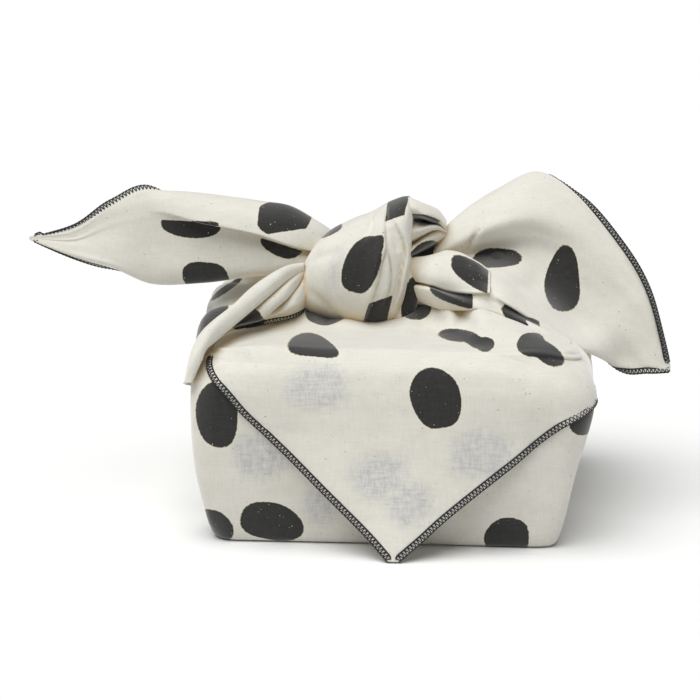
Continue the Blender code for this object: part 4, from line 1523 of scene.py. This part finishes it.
def melt(forms: list[Skin], voxel: float) -> Skin:
    """Return one even skin round several closed forms.

    Args:
        forms: the forms, which may cross each other.
        voxel: the size of the new faces.

    Returns:
        The skin, in quads.
    """
    mesh = bpy.data.meshes.new("forms")
    whole = joined(forms)
    faces = [list(dict.fromkeys(face)) for face in whole.faces.tolist()]
    mesh.from_pydata((whole.points * MM).tolist(), [], faces)
    item = bpy.data.objects.new("forms", mesh)
    bpy.context.scene.collection.objects.link(item)
    remesh = item.modifiers.new("remesh", "REMESH")
    remesh.mode = "VOXEL"
    remesh.voxel_size = voxel * MM
    bpy.context.view_layer.update()
    finished = item.evaluated_get(bpy.context.evaluated_depsgraph_get())
    result = bpy.data.meshes.new_from_object(finished)
    found = np.empty(len(result.vertices) * 3)
    result.vertices.foreach_get("co", found)
    corners = [list(face.vertices) for face in result.polygons]
    quads = np.array([(ends + ends[-1:])[:4] for ends in corners])
    bpy.data.objects.remove(item, do_unlink=True)
    return Skin(found.reshape(-1, 3) / MM, quads)


@dataclass
class KnotWrap(ClothPiece):
    """The smooth wrap round the front of the knot, with its pleats."""

    name: str = "knot_wrap"
    flat: tuple[float, float] = (0.16, 0.07)
    area: float = 0.0085
    held: str = "gathered"
    seed: int = 97
    wave: float = 26.0
    rise: float = 0.25
    steps: int = 12
    count: int = 220

    def shape(self) -> Skin:
        """Return the skin of the wrap."""
        rings = barrel(FRONT_WRAP_SECTIONS, self.steps, self.count)
        skin = Skin(rings.reshape(-1, 3), grid_faces(*rings.shape[:2], closed=True))
        self.rumple(skin)
        return skin


@dataclass
class FoldedSheet(ClothPiece):
    """A sheet of folds, each given by its places from the knot outwards."""

    folds: dict = field(default_factory=dict)
    fold_steps: int = 8
    place_steps: int = 12
    thickness: float = 0.8
    grid: Array | None = None

    def places(self) -> Array:
        """Return the places of every fold."""
        return np.array(list(self.folds.values()), float)

    def shape(self) -> Skin:
        """Return the skin of the folds."""
        lines = smooth_rows(self.places(), self.fold_steps).transpose(1, 0, 2)
        grid = smooth_rows(lines, self.place_steps)
        middle = Skin(grid.reshape(-1, 3).copy(), grid_faces(*grid.shape[:2]))
        self.rumple(middle)
        self.grid = middle.points.reshape(grid.shape)
        return thicken(middle, self.thickness)


@dataclass
class FreeCorner(FoldedSheet):
    """A free corner of the cloth, folded back along its top and its bottom."""

    rise: float = 0.35
    fold_steps: int = 9
    place_steps: int = 16
    stations: tuple[float, ...] = ()

    def places(self) -> Array:
        """Return the places of every fold, which all stand at the same stations."""
        return np.array([[(across, *place) for across, place in zip(self.stations, line)]
                         for line in self.folds.values()], float)


# ---------------------------------------------------------------- the overlocked edge

@dataclass(frozen=True)
class Overlock:
    """A three-thread overlocked edge: needle line, slanted loops on both faces, chain on the edge.

    The pitch is the length of a stitch and the bite its reach into the cloth. Thread, needle and
    chain are radii, and cloth is the height at which the loops lie off the middle of the cloth.
    """

    pitch: float = 1.9
    bite: float = 2.6
    thread: float = 0.28
    needle: float = 0.42
    chain: float = 0.55
    cloth: float = 0.45
    needle_lift: float = 0.05
    needle_dip: float = 0.1
    chain_out: float = 0.05
    chain_sway: float = 0.03
    part: float = 0.25
    sides: int = 5
    loop: tuple = (
        # share of the stitch, share of the bite
        (0.00, 1.00), (0.18, 0.74), (0.38, 0.42), (0.56, 0.08), (0.74, -0.04),
        (0.88, 0.10), (0.94, 0.45), (0.97, 0.80),
    )

    def tube(self, path: Array, up: Array, radius: float) -> Skin:
        """Return a thread that follows a path.

        Args:
            path: the middle of the thread.
            up: a direction off the cloth at each place.
            radius: the thread's radius.

        Returns:
            The thread's skin, open at its ends.
        """
        rings = tube_rings(path, up, radius, self.sides)
        return Skin(rings.reshape(-1, 3), grid_faces(len(path), self.sides, closed=True))

    def sew(self, edge: Array, inner: Array, up: Array) -> Skin:
        """Return all the threads along one edge.

        Args:
            edge: points along the cloth's edge.
            inner: the direction from each into the cloth.
            up: the direction off the cloth's outer face at each.

        Returns:
            One skin of every thread.
        """
        steps = np.linalg.norm(np.diff(edge, axis=0), axis=1)
        run = np.concatenate([[0.0], np.cumsum(steps)])
        stitches = int(run[-1] / self.pitch)

        def at(values: Array, places: Array) -> Array:
            """Return the values at lengths along the edge.

            Args:
                values: one row for each point of the edge.
                places: the lengths.

            Returns:
                One row for each length.
            """
            return np.stack([np.interp(places, run, values[:, axis]) for axis in range(3)], 1)

        def path(shares: Array, bites: Array, lift: Array) -> tuple[Array, Array]:
            """Return places on the cloth and their upward directions.

            Args:
                shares: how far each place is along the edge, in stitches.
                bites: how far it is into the cloth, in bites.
                lift: how far it is off the cloth's middle.

            Returns:
                The places and the directions.
            """
            places = shares * self.pitch
            off = unit(at(up, places))
            inward = at(inner, places)
            shift = inward * (bites * self.bite)[:, None] + off * lift[:, None]
            return at(edge, places) + shift, off

        loop = np.array(self.loop)
        number = np.repeat(np.arange(stitches), len(loop))
        shares = number + np.tile(loop[:, 0], stitches)
        bites = np.tile(loop[:, 1], stitches)
        height = np.full(len(shares), self.cloth + self.thread * 0.5)
        skins = []
        for face in (1.0, -1.0):
            line, off = path(shares, bites, height * face)
            skins.append(self.tube(line, off, self.thread))
        fine = np.arange(0.0, stitches, self.part)
        beat = np.cos(fine * 2 * np.pi)
        lift = self.cloth + self.needle_lift - self.needle_dip * beat
        line, off = path(fine, np.full(len(fine), 1.0), lift)
        skins.append(self.tube(line, off, self.needle))
        line, off = path(fine, self.chain_sway * beat - self.chain_out, np.zeros(len(fine)))
        skins.append(self.tube(line, off, self.chain))
        return joined(skins)


def hem_of(grid: Array, column: int, full_room: float = 3.4,
           least: float = 0.1) -> tuple[Array, Array, Array]:
    """Return the edge, the inward direction and the outward normal along one side of a grid.

    Args:
        grid: rows of points on the middle of the cloth.
        column: 0 for the first column of the points, -1 for the last.
        full_room: the half width of cloth that takes whole stitches.
        least: the smallest share of a stitch, at the point of a corner.

    Returns:
        The edge's points, directions into the cloth, shorter than one where the cloth runs to a
        point, and directions off it.
    """
    middle = Skin(grid.reshape(-1, 3), grid_faces(*grid.shape[:2]))
    normals = middle.normals().reshape(grid.shape)
    edge = grid[:, column]
    inner = grid[:, 2 if column == 0 else -3] - edge
    along = unit(np.gradient(edge, axis=0))
    off = unit(normals[:, column])
    inner = inner - along * (inner * along).sum(1, keepdims=True)
    room = np.linalg.norm(grid[:, grid.shape[1] // 2] - edge, axis=1, keepdims=True)
    return edge, unit(inner) * np.clip(room / full_room, least, 1.0), off


# ---------------------------------------------------------------- fold depth

@dataclass(frozen=True)
class FoldDepth:
    """Works out how deep in the folds each point lies, the share of its view that cloth hides; it sets a
    painted ochre glow.
    """

    rays: int = 14
    reach: float = 38.0
    start: float = 0.9
    quick_rays: int = 4
    slant: tuple[float, float, float] = (0.31, 0.92, 0.23)

    def measure(self, skins: list[Skin]) -> list[Array]:
        """Return a share from 0 to 1 for every point of every skin.

        Args:
            skins: the skins, which hide each other.

        Returns:
            One row of shares for each skin.
        """
        tree = joined(skins).tree()
        count = self.rays
        index = np.arange(count) + 0.5
        height = np.sqrt(1.0 - index / count)
        turn = index * math.pi * (3.0 - math.sqrt(5.0))
        spread = np.sqrt(1.0 - height ** 2)
        local = np.stack([spread * np.cos(turn), spread * np.sin(turn), height], 1)
        results = []
        for skin in skins:
            normals = skin.normals()
            side = unit(np.cross(normals, self.slant))
            other = np.cross(normals, side)
            origins = skin.points + normals * self.start
            blocked = np.zeros(len(skin.points))
            for ray in local:
                ways = side * ray[0] + other * ray[1] + normals * ray[2]
                for number, (origin, way) in enumerate(zip(origins.tolist(), ways.tolist())):
                    hit = tree.ray_cast(origin, way, self.reach)
                    if hit[0] is not None:
                        blocked[number] += 1.0
            results.append(blocked / count)
        return results


# ---------------------------------------------------------------- the studio

@dataclass
class Studio:
    """A white paper floor, soft lights and the camera."""

    azimuth: float = 4.5
    elevation: float = 13.0
    lens: float = 124.09
    eye: tuple[float, float, float] = (71.7, -1189.5, 352.3)
    floor_size: float = 9000.0
    world: float = 0.32
    lights: tuple = (
        # name, degrees off upright towards the front, degrees to the left, soft width, strength
        ("overhead_diffuser", 17.0, 12.0, 60.0, 3.25),
    )

    def build(self) -> None:
        """Build the floor, lights, world and camera."""
        scene = bpy.context.scene
        half = self.floor_size / 2 * MM
        mesh = bpy.data.meshes.new("floor")
        corners = [(-half, -half, 0), (half, -half, 0), (half, half, 0), (-half, half, 0)]
        mesh.from_pydata(corners, [], [(0, 1, 2, 3)])
        mesh.materials.append(StudioPaper().build())
        floor = bpy.data.objects.new("floor", mesh)
        scene.collection.objects.link(floor)
        for name, forward, leftward, width, strength in self.lights:
            lamp = bpy.data.lights.new(name, "SUN")
            lamp.angle = math.radians(width)
            lamp.energy = strength
            item = bpy.data.objects.new(name, lamp)
            item.rotation_euler = (math.radians(forward), math.radians(-leftward), 0.0)
            scene.collection.objects.link(item)
        world = bpy.data.worlds.new("studio")
        world.use_nodes = True
        background = world.node_tree.nodes["Background"]
        background.inputs["Color"].default_value = linear("#FFFFFF")
        background.inputs["Strength"].default_value = self.world
        scene.world = world
        scene.view_settings.view_transform = "Standard"
        data = bpy.data.cameras.new("camera")
        data.lens = self.lens
        camera = bpy.data.objects.new("camera", data)
        camera.location = Vector(self.eye) * MM
        camera.rotation_euler = (math.radians(90.0 - self.elevation), 0.0, math.radians(self.azimuth))
        scene.collection.objects.link(camera)
        scene.camera = camera


def main() -> None:
    """Build the cloth, its sewn edge and the studio."""
    logging.basicConfig(level=logging.INFO, format="%(name)s: %(message)s")
    parcel = ParcelCloth()
    parcel.make()
    corner = HangingCorner()
    knot = KnotAndGathers(parcel=parcel.skin)
    left = FreeCorner("left_ear", (0.17, 0.17), 0.0115, "gathered", 51,
                      folds=LEFT_EAR_FOLDS, stations=LEFT_EAR_STATIONS)
    right = FreeCorner("right_ear", (0.18, 0.18), 0.0135, "gathered", 67,
                       folds=RIGHT_EAR_FOLDS, stations=RIGHT_EAR_STATIONS)
    fan = FoldedSheet("left_fan", (0.07, 0.06), 0.0025, "gathered", 73, folds=LEFT_FAN_FOLDS)
    roll = FoldedSheet("left_roll", (0.12, 0.05), 0.004, "gathered", 79, folds=LEFT_ROLL_FOLDS)
    loop = FoldedSheet("knot_loop", (0.07, 0.05), 0.0018, "gathered", 101, folds=KNOT_LOOP_FOLDS)
    arm = FoldedSheet("right_arm", (0.11, 0.04), 0.0028, "gathered", 83, folds=RIGHT_ARM_FOLDS)
    bulge = FoldedSheet("right_roll", (0.06, 0.05), 0.0025, "gathered", 89, folds=RIGHT_ROLL_FOLDS)
    pieces = [parcel, corner, knot, left, right, fan, roll, KnotWrap(), loop, arm, bulge]
    for piece in pieces[1:]:
        piece.make()
    depths = FoldDepth().measure([piece.skin for piece in pieces])
    cotton = PrintedCotton().build()
    for piece, depth in zip(pieces, depths):
        piece.place(cotton, depth)
    thread = OverlockThread().build()
    sewing, narrow = Overlock(), Overlock(bite=2.2)
    fine = Overlock(bite=1.9, thread=0.2, needle=0.3, chain=0.4)
    # The fan's hem runs on under the roll, where no stitch shows.
    hidden_rows = 26
    hems = (
        ("overlock_corner_left", sewing, corner.grid[:corner.front_rows], 0),
        ("overlock_corner_right", sewing, corner.grid[:corner.front_rows], -1),
        ("overlock_left_fan", fine, fan.grid[:-hidden_rows], 0),
        ("overlock_left_ear_top", sewing, left.grid[:-1], 0),
        ("overlock_left_ear_bottom", sewing, left.grid[:-1], -1),
        ("overlock_right_ear_top", narrow, right.grid, 0),
        ("overlock_right_ear_bottom", narrow, right.grid, -1),
    )
    for name, stitch, grid, column in hems:
        place_mesh(name, stitch.sew(*hem_of(grid, column)), thread)
        LOG.info("%s sewn", name)
    Studio().build()
    LOG.info("studio built")


if __name__ == "__main__":
    main()
